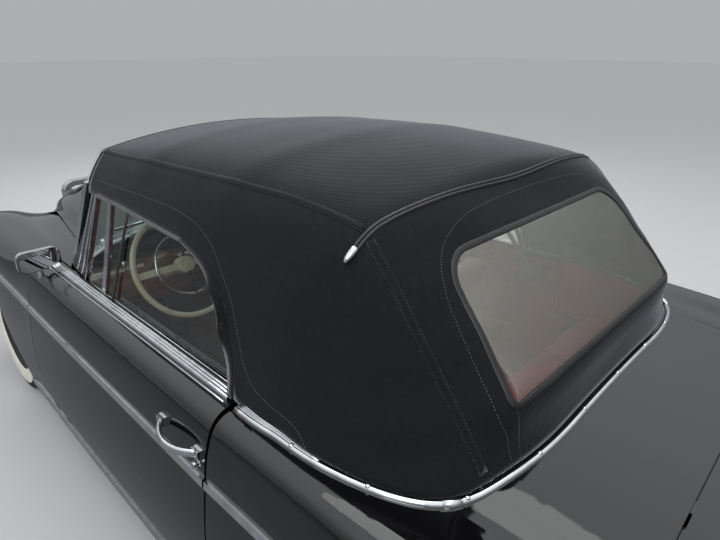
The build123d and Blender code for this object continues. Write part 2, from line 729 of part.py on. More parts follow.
def door_handle(skin):
    """A bowed pull handle on two feet, with its push button under the rear foot."""
    rear_x, front_x = HANDLE_X
    middle = (rear_x + front_x) / 2
    foot_y = surface_y(skin, middle, HANDLE_Z)
    path = Plane(origin=(0, 0, HANDLE_Z), z_dir=(0, 0, 1)) * Wire([
        ThreePointArc((front_x, foot_y + 6), (middle, foot_y + HANDLE_REACH), (rear_x, foot_y + 6))
    ])
    start = path.edges()[0]
    profile = Plane(origin=start @ 0, z_dir=start % 0) * Ellipse(7, 11)
    grip = sweep(profile, path=path)
    for x in HANDLE_X:
        grip += Pos(x, foot_y, HANDLE_Z) * Box(30, 26, 26)
    button = Pos(rear_x + 2, foot_y, HANDLE_Z - 30) * Rot(90, 0, 0) * Cylinder(10, 44)
    base = Pos(rear_x + 2, foot_y - 4, HANDLE_Z - 24) * Box(28, 22, 40)
    return (grip + base + button) - skin


def door(skin, rear_shift):
    """The left door, as thick as the whole door, with its shut face tapered to swing clear."""
    cabin = front_prism(polygon((0, 100), (DOOR_INNER_Y, 100), (DOOR_INNER_Y, 850), (DOOR_TOP_INNER_Y, 905),
                                (DOOR_TOP_INNER_Y, 1200), (0, 1200)), -1000, 1000)
    shut_taper = plan_prism(polygon((DOOR_REAR_X - 30, 1000), (DOOR_REAR_X - 2, 1000), (DOOR_REAR_X, 870),
                                    (DOOR_REAR_X + rear_shift, 680), (DOOR_REAR_X - 30, 680)), 200, 1200)
    front_corner = box(SCUTTLE_REAR_X - 40, 800, 600, 704, 200, 1200)
    return (skin & door_outline(0)) - cabin - shut_taper - front_corner


def door_parts(skin):
    """The left door's nodes: shell, chrome and panes."""
    shell = door(skin, 22)
    frame, panes = window_parts()
    slot = extrude(glass_plane() * (Pos(26, 0) * Rectangle(1010, 130)), amount=7.5, both=True)
    shell -= slot
    for z in HINGE_Z:
        shell += box(DOOR_FRONT_X - 5, DOOR_FRONT_X + PANEL_GAP - RUNNING_GAP, *HINGE_Y, z - 25, z + 25)
    belt = box(BELT_TRIM_REAR_X, 700, 720.6, 752, BELT_Z, BELT_Z + 12)
    belt = fillet(belt.edges().filter_by(Axis.X).sort_by(Axis.Z)[-2:], 5)
    x0, x1 = DOOR_REAR_X + 1, DOOR_FRONT_X - 1
    strip = flank_strip(skin, x0, x1, *TRIM_Z, TRIM_PROUD)
    chrome = Compound([*solids(frame), *solids(belt), *solids(strip), *solids(door_handle(skin))])
    return shell, chrome, panes


def mirror_head():
    """The driver's mirror on the top of the door, with its stalk."""
    x, y, z = MIRROR
    head = Pos(x, y, z) * Box(*MIRROR_SIZE)
    head = fillet(head.edges().filter_by(Axis.X), 26)
    head = fillet(head.edges().group_by(Axis.X)[-1], 12)
    height = z - MIRROR_SIZE[2] / 3 - BELT_Z + 36
    foot = Pos(x + 12, y, z - MIRROR_SIZE[2] / 3 - height / 2) * Cylinder(MIRROR_STALK_RADIUS, height)
    return head + foot


def base_bead(rear):
    """The chromed bead that lies on the deck around the foot of the top, from one door to the other."""
    ring = top_outline_prism(BEAD_GAP + BEAD_WIDTH, 900, 1000) - top_outline_prism(BEAD_GAP, 890, 1010)
    ring -= wide(DOOR_REAR_X - PANEL_GAP, 2000, 900, 0, 2000)
    return (ring & rear.moved(Location((0, 0, BEAD_HEIGHT)))) - rear - top_block(BEAD_SEAT)


def tube(points, radius, bends):
    """A round bar or pipe through points, with rounded bends."""
    path = FilletPolyline(*points, radius=bends)
    profile = Plane(origin=path @ 0, z_dir=path % 0) * Circle(radius)
    return sweep(profile, path=path)


def on_rail(x):
    """The point of the side rail at this x."""
    for (x0, y0, z0), (x1, y1, z1) in zip(TOP_RAIL, TOP_RAIL[1:]):
        if x1 <= x <= x0:
            t = (x - x0) / (x1 - x0)
            return (x, y0 + t * (y1 - y0), z0 + t * (z1 - z0))


def top_frame():
    """The folding frame as it stands when up: three bows and the two side rails that carry them."""
    left = tube(TOP_RAIL, TOP_RAIL_RADIUS, 40)
    left += box(-650, -580, 640, CABIN_HALF_WIDTH, 850, 930)
    bows = []
    for x, side_z, foot_x in BOWS:
        bow = Wire([ThreePointArc((x, BOW_HALF, side_z), (x, 0, side_z + BOW_RISE), (x, -BOW_HALF, side_z))])
        profile = Plane(origin=bow @ 0, z_dir=bow % 0) * Circle(BOW_RADIUS)
        bows.append(sweep(profile, path=bow))
        foot = on_rail(foot_x)
        bend = ((x + foot_x) / 2, 562, (side_z + foot[2]) / 2)
        leg = tube([(x, BOW_HALF, side_z), bend, foot], BOW_RADIUS, 20)
        bows += [leg, mirror(leg, about=Plane.XZ)]
    shape = left + mirror(left, about=Plane.XZ)
    return shape.fuse(*bows)


def bumper(x_middle, x_end, y_end, z, face, body_x):
    """A chromed blade round one end of the car, with its irons and over-riders; face is 1 at the front."""
    depth, height = 24, 118
    half = smooth([
        (0, x_middle, 0),
        (y_end * 0.86, x_middle - face * 95, -face * 38),
        (y_end, x_end, -face * 90),
    ])
    half = [Plane(origin=(0, 0, z), x_dir=(0, 1, 0), z_dir=(0, 0, -1)) * e for e in half]
    path = Wire(half)
    normal = Plane(origin=path @ 0, x_dir=(0, 0, 1), z_dir=path % 0)
    blade = make_face(Wire([
        ThreePointArc((-height / 2, 0), (0, face * -depth), (height / 2, 0)),
        Line((height / 2, 0), (height / 2 - 8, face * 10)),
        ThreePointArc((height / 2 - 8, face * 10), (0, face * -(depth - 14)), (-height / 2 + 8, face * 10)),
        Line((-height / 2 + 8, face * 10), (-height / 2, 0)),
    ]))
    left = sweep(normal * blade, path=path)
    guard_x = x_middle + face * (GUARD_REACH - 27)
    guard = Pos(guard_x, GUARD_Y, z + 22) * Box(54, 62, 196)
    guard = fillet(guard.edges().group_by(Axis.X)[-1 if face > 0 else 0], 24)
    guard = fillet(guard.edges().filter_by(Axis.X), 16)
    x0, x1 = sorted((body_x, guard_x))
    left += guard + box(x0, x1, GUARD_Y - 20, GUARD_Y + 20, 444, 474)
    return left + mirror(left, about=Plane.XZ)


def bumpers():
    reach = LENGTH / 2 - GUARD_REACH
    front = bumper(reach, 2010, 850, 448, 1, NOSE_X)
    rear = bumper(-reach, -1990, 838, 452, -1, TAIL_X)
    return Compound([*solids(front), *solids(rear)])


def tyre(axle_x, y, side):
    """A tyre with its rounded shoulders, turned about the wheel's axis."""
    half, tread = TYRE_WIDTH / 2, TYRE_WIDTH * 0.36
    seat_half, seat_r = RIM_WIDTH / 2 - RIM_SHEET - EASY_FIT, RIM_RADIUS - RIM_FLANGE + EASY_FIT
    bead_half, bead_r = RIM_WIDTH / 2, RIM_RADIUS + EASY_FIT
    shoulder_r, wall_r = TYRE_RADIUS - 9, (RIM_RADIUS + TYRE_RADIUS) / 2 - 4
    profile = Wire([
        Line((-seat_half, seat_r), (seat_half, seat_r)),
        Line((seat_half, seat_r), (seat_half, bead_r)),
        Line((seat_half, bead_r), (bead_half, bead_r)),
        ThreePointArc((bead_half, bead_r), (half, wall_r), (tread, shoulder_r)),
        ThreePointArc((tread, shoulder_r), (0, TYRE_RADIUS), (-tread, shoulder_r)),
        ThreePointArc((-tread, shoulder_r), (-half, wall_r), (-bead_half, bead_r)),
        Line((-bead_half, bead_r), (-seat_half, bead_r)),
        Line((-seat_half, bead_r), (-seat_half, seat_r)),
    ])
    ring = revolve(Plane.XY * make_face(profile), Axis.X)
    return Pos(axle_x, y, WHEEL_Z) * Rot(0, 0, 90 * side) * ring


def wheel(axle_x, y, side):
    """Pressed steel wheel with its hub cap; local +x is outboard."""
    half, r, bed, well = RIM_WIDTH / 2, RIM_RADIUS, RIM_RADIUS - RIM_FLANGE, RIM_RADIUS - 44
    t = RIM_SHEET
    rim = revolve(make_face(polygon(
        (half, r), (half - t, r), (half - t, bed), (22, bed), (14, well), (-14, well), (-22, bed),
        (-half + t, bed), (-half + t, r), (-half, r), (-half, bed - t), (-26, bed - t), (-18, well - t),
        (18, well - t), (26, bed - t), (half, bed - t),
    )), Axis.X)
    bore = STUB_RADIUS + EASY_FIT
    disc = revolve(make_face(polygon(
        (16, well - t), (26, well - 30), (38, 96), (30, 74), (22, 66), (22, bore), (12, bore), (12, 72),
        (22, 82), (28, 98), (16, well - 34), (8, well - t),
    )), Axis.X)
    cap = revolve(make_face(Wire([
        Line((37, 0), (37, 112)),
        ThreePointArc((37, 112), (58, 92), (62, 60)),
        dome(62, 60, 78),
        Line((78, 0), (37, 0)),
    ])), Axis.X)
    return Pos(axle_x, y, WHEEL_Z) * Rot(0, 0, 90 * side) * (rim + disc + cap)


def knuckle(side):
    """Kingpin, stub axle and back plate of a front wheel."""
    track_y = FRONT_TRACK / 2
    pin = Pos(FRONT_AXLE_X, KINGPIN_Y, WHEEL_Z) * Cylinder(KINGPIN_RADIUS, 262)
    block = Pos(FRONT_AXLE_X, KINGPIN_Y, WHEEL_Z) * Box(56, 46, 150)
    stub = Pos(FRONT_AXLE_X, KINGPIN_Y + 43, WHEEL_Z) * Rot(90, 0, 0) * Cylinder(STUB_RADIUS, 86)
    drum = Pos(FRONT_AXLE_X, track_y - 14, WHEEL_Z) * Rot(90, 0, 0) * Cylinder(112, 40)
    steering_arm = box(FRONT_AXLE_X - 120, FRONT_AXLE_X, KINGPIN_Y - 20, KINGPIN_Y,
                       WHEEL_Z - 40, WHEEL_Z - 24)
    shape = pin + block + stub + drum + steering_arm
    return shape if side > 0 else mirror(shape, about=Plane.XZ)


def front_subframe():
    """Cross member, wishbones with the kingpins' bores, and coil springs."""
    low_z, high_z = WHEEL_Z - 111, WHEEL_Z + 104
    beam = wide(FRONT_AXLE_X - 60, FRONT_AXLE_X + 60, 380, 190, 262)
    left = []
    for z, inner, inner_half, outer_half in ((low_z, 330, 105, 34), (high_z, 385, 70, 30)):
        arm = plan_prism(polygon(
            (FRONT_AXLE_X - inner_half, inner), (FRONT_AXLE_X + inner_half, inner),
            (FRONT_AXLE_X + outer_half, KINGPIN_Y), (FRONT_AXLE_X - outer_half, KINGPIN_Y),
        ), z - 11, z + 11)
        eye = Pos(FRONT_AXLE_X, KINGPIN_Y, z) * Cylinder(26, 22)
        left.append((arm + eye) - Pos(FRONT_AXLE_X, KINGPIN_Y, z) * Cylinder(KINGPIN_RADIUS + EASY_FIT, 60))
    seat_z = SPRING_SEAT_Z - 15
    left.append(Pos(FRONT_AXLE_X, 480, (low_z + 11 + seat_z) / 2) * Cylinder(46, seat_z - low_z - 11))
    left.append(box(FRONT_AXLE_X - 60, FRONT_AXLE_X + 60, 340, 540, seat_z, SPRING_SEAT_Z))
    left.append(box(FRONT_AXLE_X - 50, FRONT_AXLE_X + 50, 340, ENGINE_BAY_HALF_WIDTH - 1, 262, seat_z))
    left.append(box(FRONT_AXLE_X - 30, FRONT_AXLE_X + 30, 100, 160, 262, ENGINE_BOTTOM_Z))
    shape = beam
    for piece in left:
        shape = shape + piece + mirror(piece, about=Plane.XZ)
    return shape


def rear_axle():
    """Swing axle: final drive, half-axle tubes with drums, trailing arms, springs and propeller shaft."""
    drive = Pos(REAR_AXLE_X + 10, 0, WHEEL_Z) * Sphere(118)
    shape = drive + Pos(REAR_AXLE_X + 120, 0, WHEEL_Z) * Rot(0, 90, 0) * Cylinder(60, 160)
    track_y = REAR_TRACK / 2
    half = Pos(REAR_AXLE_X, (80 + track_y - 18) / 2, WHEEL_Z) * Rot(90, 0, 0) * Cylinder(36, track_y - 98)
    half += Pos(REAR_AXLE_X, track_y - 14, WHEEL_Z) * Rot(90, 0, 0) * Cylinder(112, 40)
    half += Pos(REAR_AXLE_X, track_y + 10, WHEEL_Z) * Rot(90, 0, 0) * Cylinder(STUB_RADIUS, 40)
    half += box(REAR_AXLE_X, SEAT_BULKHEAD_X, 500, 540, WHEEL_Z - 20, WHEEL_Z + 20)
    spring_top = AXLE_FLOOR_Z - 25
    half += Pos(REAR_AXLE_X - 10, 430, (WHEEL_Z + spring_top) / 2) * Cylinder(52, spring_top - WHEEL_Z)
    shaft_length = GEARBOX_REAR_X - REAR_AXLE_X - 100
    shaft = Pos(GEARBOX_REAR_X - shaft_length / 2, 0, WHEEL_Z) * Rot(0, 90, 0) * Cylinder(32, shaft_length)
    return shape + half + mirror(half, about=Plane.XZ) + shaft


def floor_pan(skin):
    """Floor with its tunnel, the kick-up at the back and the two sills under the doors."""
    top = FLOOR_Z + FLOOR_THICKNESS
    plate = wide(SEAT_BULKHEAD_X, FIREWALL_X, CABIN_HALF_WIDTH, FLOOR_Z, top)
    kick = wide(SEAT_BULKHEAD_X, SEAT_BULKHEAD_X + 20, REAR_ARCH_INNER_Y - 26, top, 640)
    plate -= box(SEAT_BULKHEAD_X - 5, -784, REAR_ARCH_INNER_Y - 25, 800, 0, 700)
    plate -= box(SEAT_BULKHEAD_X - 5, -784, -800, -REAR_ARCH_INNER_Y + 25, 0, 700)
    outer = tunnel_bar(TUNNEL_HALF, TUNNEL_TOP_Z)
    inner = tunnel_bar(TUNNEL_HALF - TUNNEL_SHEET, TUNNEL_TOP_Z - TUNNEL_SHEET)
    inner_all = inner + Pos(0, 0, -100) * inner
    pan = (plate + kick + outer) - inner_all
    sill = skin & box(DOOR_REAR_X - PANEL_GAP, DOOR_FRONT_X + PANEL_GAP, CABIN_HALF_WIDTH, 1000,
                      SILL_BOTTOM_Z, DOOR_BOTTOM_Z - PANEL_GAP)
    return pan + sill + mirror(sill, about=Plane.XZ)


def tunnel_bar(half, top):
    face = Pos(0, (top + FLOOR_Z) / 2) * Rectangle(2 * half, top - FLOOR_Z)
    face = fillet(face.vertices().sort_by(Axis.Y)[-2:], 50)
    return extrude(Plane.YZ.offset(SEAT_BULKHEAD_X - 10) * face, amount=FIREWALL_X - SEAT_BULKHEAD_X + 10)


def column_plane(along):
    """A plane across the steering column, this far forward of the wheel's hub."""
    tilt = math.radians(COLUMN_TILT)
    forward = Vector(math.cos(tilt), 0, -math.sin(tilt))
    return Plane(origin=Vector(*WHEEL_HUB) + forward * along, x_dir=(0, 1, 0), z_dir=forward)


def steering_column():
    start, length = 62, 700
    bar = extrude(column_plane(start) * Circle(COLUMN_RADIUS), amount=length)
    bar -= extrude(column_plane(start - 5) * Circle(12 + EASY_FIT), amount=length + 10)
    return bar - box(FIREWALL_X, 2000, 0, 800, 0, 1200)


def steering_wheel():
    plane = column_plane(0)
    rim = plane * Torus(STEERING_WHEEL_RADIUS, 11)
    hub = extrude(plane * Circle(34), amount=50) + extrude(column_plane(-14) * Circle(30), amount=20)
    shaft = extrude(plane * Circle(12), amount=120)
    ring = column_plane(-6) * Torus(122, 5)
    spoke = plane * (Pos(0, 0, 6) * Box(2 * STEERING_WHEEL_RADIUS, 26, 10))
    stay = column_plane(-6) * Box(10, 244, 7)
    return rim + hub + shaft + ring + spoke + stay


def dashboard():
    """Full-width facia with a rounded lower roll, cut round the steering column."""
    half = CABIN_HALF_WIDTH - 4
    rear = SCUTTLE_REAR_X
    outline = smooth([(rear, 912, 180), (560, 880, 235), (556, 770, 290), (600, 716, 350), (rear, 720, 15)])
    wire = Wire([*outline, Line(outline[-1] @ 1, (rear, 912))])
    bar = side_prism(wire, -half, half)
    hood = Pos(556, WHEEL_HUB[1], 850) * Rot(0, 90, 0) * Cylinder(88, 60)
    bar += hood
    return bar - extrude(column_plane(0) * Circle(COLUMN_RADIUS + 0.3), amount=900)


def seat(x0, x1, y0, y1, cushion_z, top_z, back_lean):
    """A seat: cushion and leaning backrest, both with rounded edges."""
    base_z = FLOOR_Z + FLOOR_THICKNESS
    cushion = box(x0, x1, y0, y1, base_z + 40, cushion_z)
    cushion = fillet(cushion.edges(), 32)
    back = box(x0 - 60, x0 + 60, y0, y1, cushion_z - 60, top_z)
    back = fillet(back.edges(), 42)
    back = Pos(x0, 0, cushion_z) * Rot(0, -back_lean, 0) * Pos(-x0, 0, -cushion_z) * back
    plinth = box(x0 + 40, x1 - 60, y0 + 40, y1 - 40, base_z, base_z + 60)
    return plinth + cushion + back


def front_seats():
    return both(seat(-300, 190, 130, 640, 500, 905, 12))


def rear_seat():
    half = REAR_ARCH_INNER_Y - 40
    bench = seat(-880, -560, -half, half, 480, 870, 10)
    return bench - wide(SEAT_BULKHEAD_X, 0, TUNNEL_HALF + 2, 0, TUNNEL_TOP_Z + 2)


def engine():
    """The six-cylinder engine and gearbox as plain blocks, with the radiator ahead of them."""
    block = wide(1190, 1880, 230, ENGINE_BOTTOM_Z, 850)
    gearbox = wide(GEARBOX_REAR_X, 1190, 84, 280, 405)
    radiator = wide(2030, 2075, 240, 330, 800)
    brace = wide(1880, 2030, 60, 300, 340)
    return block + gearbox + radiator + brace


def exhaust():
    y = -300
    pipe = tube([(1240, y, 255), (1100, y, 222), (-2200, y - 20, 222)], 21, 60)
    silencer = Pos(-250, y - 8, 216) * Rot(0, 90, 0) * extrude(Ellipse(42, 75), amount=260, both=True)
    flange = box(1210, 1270, y - 40, y + 90, 258, ENGINE_BOTTOM_Z)
    riser = Pos(1240, y, 252) * Cylinder(21, 14)
    hangers = []
    for x, top in ((700, FLOOR_Z), (-700, FLOOR_Z), (-2100, BOOT_FLOOR_Z - 25)):
        hangers.append(box(x - 12, x + 12, y - 22, y + 6, 225, top))
    return (pipe + silencer + riser + flange).fuse(*hangers)


def fuel_tank():
    tank = wide(-2050, -1600, 420, 232, BOOT_FLOOR_Z - 25)
    return fillet(tank.edges().filter_by(Axis.Y), 24) - box(-2300, 0, -350, -280, 0, 260)


def headlamps():
    """Lamp units with chromed rims, set in the wings."""
    x = NOSE_X - 14
    rim = revolve(make_face(Wire([
        Line((-40, 0), (-40, HEADLAMP_RADIUS - 0.3)),
        Line((-40, HEADLAMP_RADIUS - 0.3), (1, HEADLAMP_RADIUS - 0.3)),
        ThreePointArc((1, HEADLAMP_RADIUS - 0.3), (9, HEADLAMP_RADIUS - 8), (4, HEADLAMP_RADIUS - 17)),
        dome(4, HEADLAMP_RADIUS - 17, 24),
        Line((24, 0), (-40, 0)),
    ])), Axis.X)
    return both(Pos(x, HEADLAMP_Y, HEADLAMP_Z) * rim)


def tail_lamps(rear):
    """Upright lamp units on the ends of the rear wings."""
    lamp = Pos(-2120, 640, 640) * Box(200, 96, 190)
    lamp = fillet(lamp.edges().filter_by(Axis.X), 44)
    lamp = (lamp & rear.moved(Location((-16, 0, 0)))) - rear
    return both(lamp)


def save(name, shape):
    export_step(shape, os.path.join("parts", name + ".step"))


def main():
    os.makedirs("parts", exist_ok=True)
    front, middle, rear = hull(FRONT_SECTIONS), hull(DOOR_SECTIONS, door_section), hull(REAR_SECTIONS)
    nodes = split_front(front_structure(front))
    nodes.update(split_rear(rear_structure(rear)))
    nodes["bonnet"] = bonnet(front)
    nodes["grille"] = grille()
    nodes["boot_lid"] = boot_lid(rear)
    nodes["floor_pan"] = floor_pan(middle)
    nodes.update(windscreen(front))
    outer = top_block(0)
    nodes["top_fabric"] = top_fabric(outer, rear)
    nodes["rear_window"] = rear_window(outer)
    nodes["top_frame"] = top_frame()
    nodes["top_bead"] = base_bead(rear)
    shell, chrome, panes = door_parts(middle)
    for name, shape in (("door", shell), ("door_chrome", chrome), ("door_glass", panes)):
        nodes[name + "_left"] = shape
        nodes[name + "_right"] = mirror(shape, about=Plane.XZ)
    mirror_piece = mirror_head() - middle
    nodes["door_chrome_left"] = Compound([*solids(chrome), *solids(mirror_piece)])
    nodes["side_trim"] = side_trim(front, middle, rear)
    nodes["headlamps"] = headlamps()
    nodes["tail_lamps"] = tail_lamps(rear)
    nodes["bumpers"] = bumpers()
    nodes["dashboard"] = dashboard()
    nodes["steering_column"] = steering_column()
    nodes["steering_wheel"] = steering_wheel()
    nodes["front_seats"] = front_seats()
    nodes["rear_seat"] = rear_seat()
    nodes["engine"] = engine()
    nodes["front_subframe"] = front_subframe()
    nodes["rear_axle"] = rear_axle()
    nodes["exhaust"] = exhaust()
    nodes["fuel_tank"] = fuel_tank()
    for name, side in (("left", 1), ("right", -1)):
        nodes["knuckle_" + name] = knuckle(side)
        nodes["tyre_front_" + name] = tyre(FRONT_AXLE_X, side * FRONT_TRACK / 2, side)
        nodes["wheel_front_" + name] = wheel(FRONT_AXLE_X, side * FRONT_TRACK / 2, side)
        nodes["tyre_rear_" + name] = tyre(REAR_AXLE_X, side * REAR_TRACK / 2, side)
        nodes["wheel_rear_" + name] = wheel(REAR_AXLE_X, side * REAR_TRACK / 2, side)
    for name, shape in nodes.items():
        save(name, shape)


main()
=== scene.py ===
# %% [markdown]
# # Dressing a 1950s convertible
# The frame gives every panel its size and place. This lesson dresses it as the real car is
# finished: enamel, plated trim, a canvas top sewn over bows, red leather, glass and whitewall
# tyres. Everything stays in the frame's own metres, so nothing has to be fitted by eye.

# %% Load the frame
import math

import bmesh
import bpy
import numpy as np
from mathutils import Matrix, Vector, noise
from mathutils.bvhtree import BVHTree


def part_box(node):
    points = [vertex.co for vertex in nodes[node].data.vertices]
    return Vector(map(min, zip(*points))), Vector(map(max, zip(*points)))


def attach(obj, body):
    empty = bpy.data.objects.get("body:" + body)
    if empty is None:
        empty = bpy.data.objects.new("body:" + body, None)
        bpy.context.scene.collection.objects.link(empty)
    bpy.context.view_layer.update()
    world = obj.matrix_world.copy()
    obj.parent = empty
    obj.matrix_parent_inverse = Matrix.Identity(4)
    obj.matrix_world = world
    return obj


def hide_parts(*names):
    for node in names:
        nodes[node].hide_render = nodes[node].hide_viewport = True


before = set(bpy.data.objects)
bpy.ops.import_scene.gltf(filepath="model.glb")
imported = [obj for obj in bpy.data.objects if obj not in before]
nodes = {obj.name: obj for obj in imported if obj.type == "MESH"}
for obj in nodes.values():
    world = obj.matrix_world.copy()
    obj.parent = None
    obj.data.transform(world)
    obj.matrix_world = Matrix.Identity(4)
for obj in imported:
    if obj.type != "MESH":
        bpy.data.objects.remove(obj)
scene = bpy.context.scene
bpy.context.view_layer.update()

# %% [markdown]
# ## Camera, light and floor
# The photograph was taken standing behind the left door, with a phone's wide lens, looking down
# over the top towards the right headlamp. The camera is set by its place, heading and tilt, so
# the same view can be checked against the panel gaps.

# %% Camera
CAMERA_PLACE = Vector((-1.532, 1.312, 1.760))
CAMERA_HEADING = math.radians(-45.72)
CAMERA_TILT = math.radians(22.84)
CAMERA_LENS_MM = 27.07

camera_data = bpy.data.cameras.new("camera")
camera_data.lens = CAMERA_LENS_MM
camera_data.sensor_width = 36
camera_data.clip_start = 0.05
camera = bpy.data.objects.new("camera", camera_data)
scene.collection.objects.link(camera)
looking = Vector((math.cos(CAMERA_TILT) * math.cos(CAMERA_HEADING),
                  math.cos(CAMERA_TILT) * math.sin(CAMERA_HEADING),
                  -math.sin(CAMERA_TILT)))
camera.location = CAMERA_PLACE
camera.rotation_euler = looking.to_track_quat("-Z", "Y").to_euler()
scene.camera = camera
scene.view_settings.view_transform = "Standard"
print("camera", [round(v, 3) for v in camera.location])


# %% [markdown]
# ## Colours and nodes
# Colours are written as the eye reads them, in sRGB hex, and one function turns them to the
# linear values that the renderer works in. One more small function adds any node with its
# settings and links, and every finish is built with it.

# %% Colour and node helpers
def colour(hex_value):
    """A linear RGBA colour from an sRGB hex value such as #1B1C1E."""
    parts = [int(hex_value[k:k + 2], 16) / 255 for k in (1, 3, 5)]
    return [*[p / 12.92 if p <= 0.04045 else ((p + 0.055) / 1.055) ** 2.4 for p in parts], 1.0]


def add_node(material, kind, values=None, links=None, stops=(), **settings):
    """Adds one node: settings are its options, values its unlinked inputs, links its joined inputs.

    Where the node holds a colour ramp, stops are its (position, sRGB hex) pairs.
    """
    node = material.node_tree.nodes.new(kind)
    for name, value in settings.items():
        setattr(node, name, value)
    for key, value in (values or {}).items():
        node.inputs[key].default_value = value
    for key, socket in (links or {}).items():
        material.node_tree.links.new(socket, node.inputs[key])
    for _ in stops[2:]:
        node.color_ramp.elements.new(0.5)
    for number, (position, hex_value) in enumerate(stops):
        node.color_ramp.elements[number].position = position
        node.color_ramp.elements[number].color = colour(hex_value)
    return node


def finish(name, surface):
    """A new material whose surface comes from the shader that the given function returns."""
    material = bpy.data.materials.new(name)
    material.use_nodes = True
    material.node_tree.nodes.clear()
    add_node(material, "ShaderNodeOutputMaterial", links={"Surface": surface(material).outputs[0]})
    return material


print("#808080 is", round(colour("#808080")[0], 3), "in linear light")

# %% [markdown]
# Every finish here is a pattern of a real size, laid over the piece's own coordinates, that
# moves colour, roughness and relief a little. So two helpers follow: one lays a texture of any
# kind at a size in millimetres, and one joins such patterns into an outer skin.

# %% Patterns and skins
MM = 0.001


def texture(material, spacing_mm, detail, values=None, stretch=(1, 1, 1), kind="Noise", **settings):
    """A texture whose lumps, cells or bands lie this many millimetres apart, stretched along the axes."""
    place = add_node(material, "ShaderNodeTexCoord").outputs["Object"]
    scaled = add_node(material, "ShaderNodeMapping", values={"Scale": [1 / s for s in stretch]},
                      links={"Vector": place})
    sizes = {"Scale": 1 / (spacing_mm * MM), "Detail": detail, **(values or {"Roughness": 0.55})}
    made = add_node(material, "ShaderNodeTex" + kind, values=sizes,
                    links={"Vector": scaled.outputs[0]}, **settings)
    return made.outputs["Distance" if kind == "Voronoi" else "Fac"]


def skin(material, values, tone, rough=None, relief=None):
    """A surface whose colour, roughness and relief each follow a pattern.

    tone is (pattern, colour stop, colour stop), rough is (pattern, lowest, highest) and relief is
    (pattern, full height in millimetres, strength).
    """
    pattern, *stops = tone
    links = {"Base Color": add_node(material, "ShaderNodeValToRGB", stops=stops,
                                    links={"Fac": pattern}).outputs["Color"]}
    if rough:
        pattern, low, high = rough
        links["Roughness"] = add_node(material, "ShaderNodeMapRange", values={"To Min": low, "To Max": high},
                                      links={"Value": pattern}).outputs[0]
    if relief:
        pattern, height_mm, strength = relief
        links["Normal"] = add_node(material, "ShaderNodeBump", links={"Height": pattern}, values={
            "Strength": strength, "Distance": height_mm * MM}).outputs["Normal"]
    return add_node(material, "ShaderNodeBsdfPrincipled", values=values, links=links)


print("lumps 2 mm apart have the scale", round(1 / (2 * MM)))

# %% [markdown]
# ## A soft studio
# Three large lamps and a pale world give plain, even light, at which a colour renders about as it
# is written. What paint and plate mirror is a sky that is bright overhead and darker low down, as
# it is outdoors, because plate shows its shape only by what it mirrors.

# %% World
AMBIENT = 0.72
HORIZON_LEVEL = 0.46
ZENITH_LEVEL = 1.25
PALE_SKY = colour("#F4F6F8")

world = bpy.data.worlds.new("soft_studio")
world.use_nodes = True
world.node_tree.nodes.clear()
ray_kind = add_node(world, "ShaderNodeLightPath")
looked_at = add_node(world, "ShaderNodeMath", operation="MAXIMUM",
                     links={0: ray_kind.outputs["Is Camera Ray"], 1: ray_kind.outputs["Is Transmission Ray"]})
shown = add_node(world, "ShaderNodeMath", operation="MAXIMUM",
                 links={0: looked_at.outputs[0], 1: ray_kind.outputs["Is Glossy Ray"]})
room = add_node(world, "ShaderNodeBackground", values={"Color": PALE_SKY, "Strength": AMBIENT})
height = add_node(world, "ShaderNodeSeparateXYZ",
                  links={"Vector": add_node(world, "ShaderNodeTexCoord").outputs["Generated"]})
shade = add_node(world, "ShaderNodeMapRange", interpolation_type="SMOOTHSTEP",
                 values={"From Min": 0.08, "From Max": 0.75, "To Min": HORIZON_LEVEL, "To Max": ZENITH_LEVEL},
                 links={"Value": height.outputs["Z"]})
backdrop = add_node(world, "ShaderNodeBackground", values={"Color": PALE_SKY},
                    links={"Strength": shade.outputs[0]})
both = add_node(world, "ShaderNodeMixShader", links={
    0: shown.outputs[0], 1: room.outputs[0], 2: backdrop.outputs[0]})
add_node(world, "ShaderNodeOutputWorld", links={"Surface": both.outputs[0]})
scene.world = world
print("the room lights at", AMBIENT, "and is mirrored at", HORIZON_LEVEL, "to", ZENITH_LEVEL)

# %% [markdown]
# The lamps all look at the car's middle. The floor is one plain pale sheet, far larger than the
# car, so that no edge of it comes near.

# %% Lamps and floor
FLOOR_HALF = 60.0
# columns: name, place in metres, size in metres, watts
LAMPS = [
    ("key_lamp", (-3.5, 4.5, 5.5), 4.0, 210),
    ("fill_lamp", (4.5, -3.5, 4.5), 4.0, 120),
    ("top_lamp", (0.0, 0.0, 6.5), 5.0, 110),
]
for name, place, size, watts in LAMPS:
    lamp_data = bpy.data.lights.new(name, "AREA")
    lamp_data.size = size
    lamp_data.energy = watts
    lamp = bpy.data.objects.new(name, lamp_data)
    lamp.location = place
    lamp.rotation_euler = (Vector((0, 0, 0.6)) - Vector(place)).to_track_quat("-Z", "Y").to_euler()
    scene.collection.objects.link(lamp)

floor_mesh = bpy.data.meshes.new("floor")
floor_mesh.from_pydata([(x * FLOOR_HALF, y * FLOOR_HALF, 0) for x, y in ((-1, -1), (1, -1), (1, 1), (-1, 1))],
                       [], [(0, 1, 2, 3)])
floor = bpy.data.objects.new("floor", floor_mesh)
scene.collection.objects.link(floor)


def floor_paint(m):
    """Pale to look at and to light the underside; what enamel mirrors of it is as dark as asphalt."""
    mirrored = add_node(m, "ShaderNodeLightPath").outputs["Is Glossy Ray"]
    tone = add_node(m, "ShaderNodeMix", data_type="RGBA", values={6: colour("#C8C9CA"), 7: colour("#818386")},
                    links={0: mirrored})
    return add_node(m, "ShaderNodeBsdfPrincipled", values={"Roughness": 1.0, "Specular IOR Level": 0.1},
                    links={"Base Color": tone.outputs[2]})


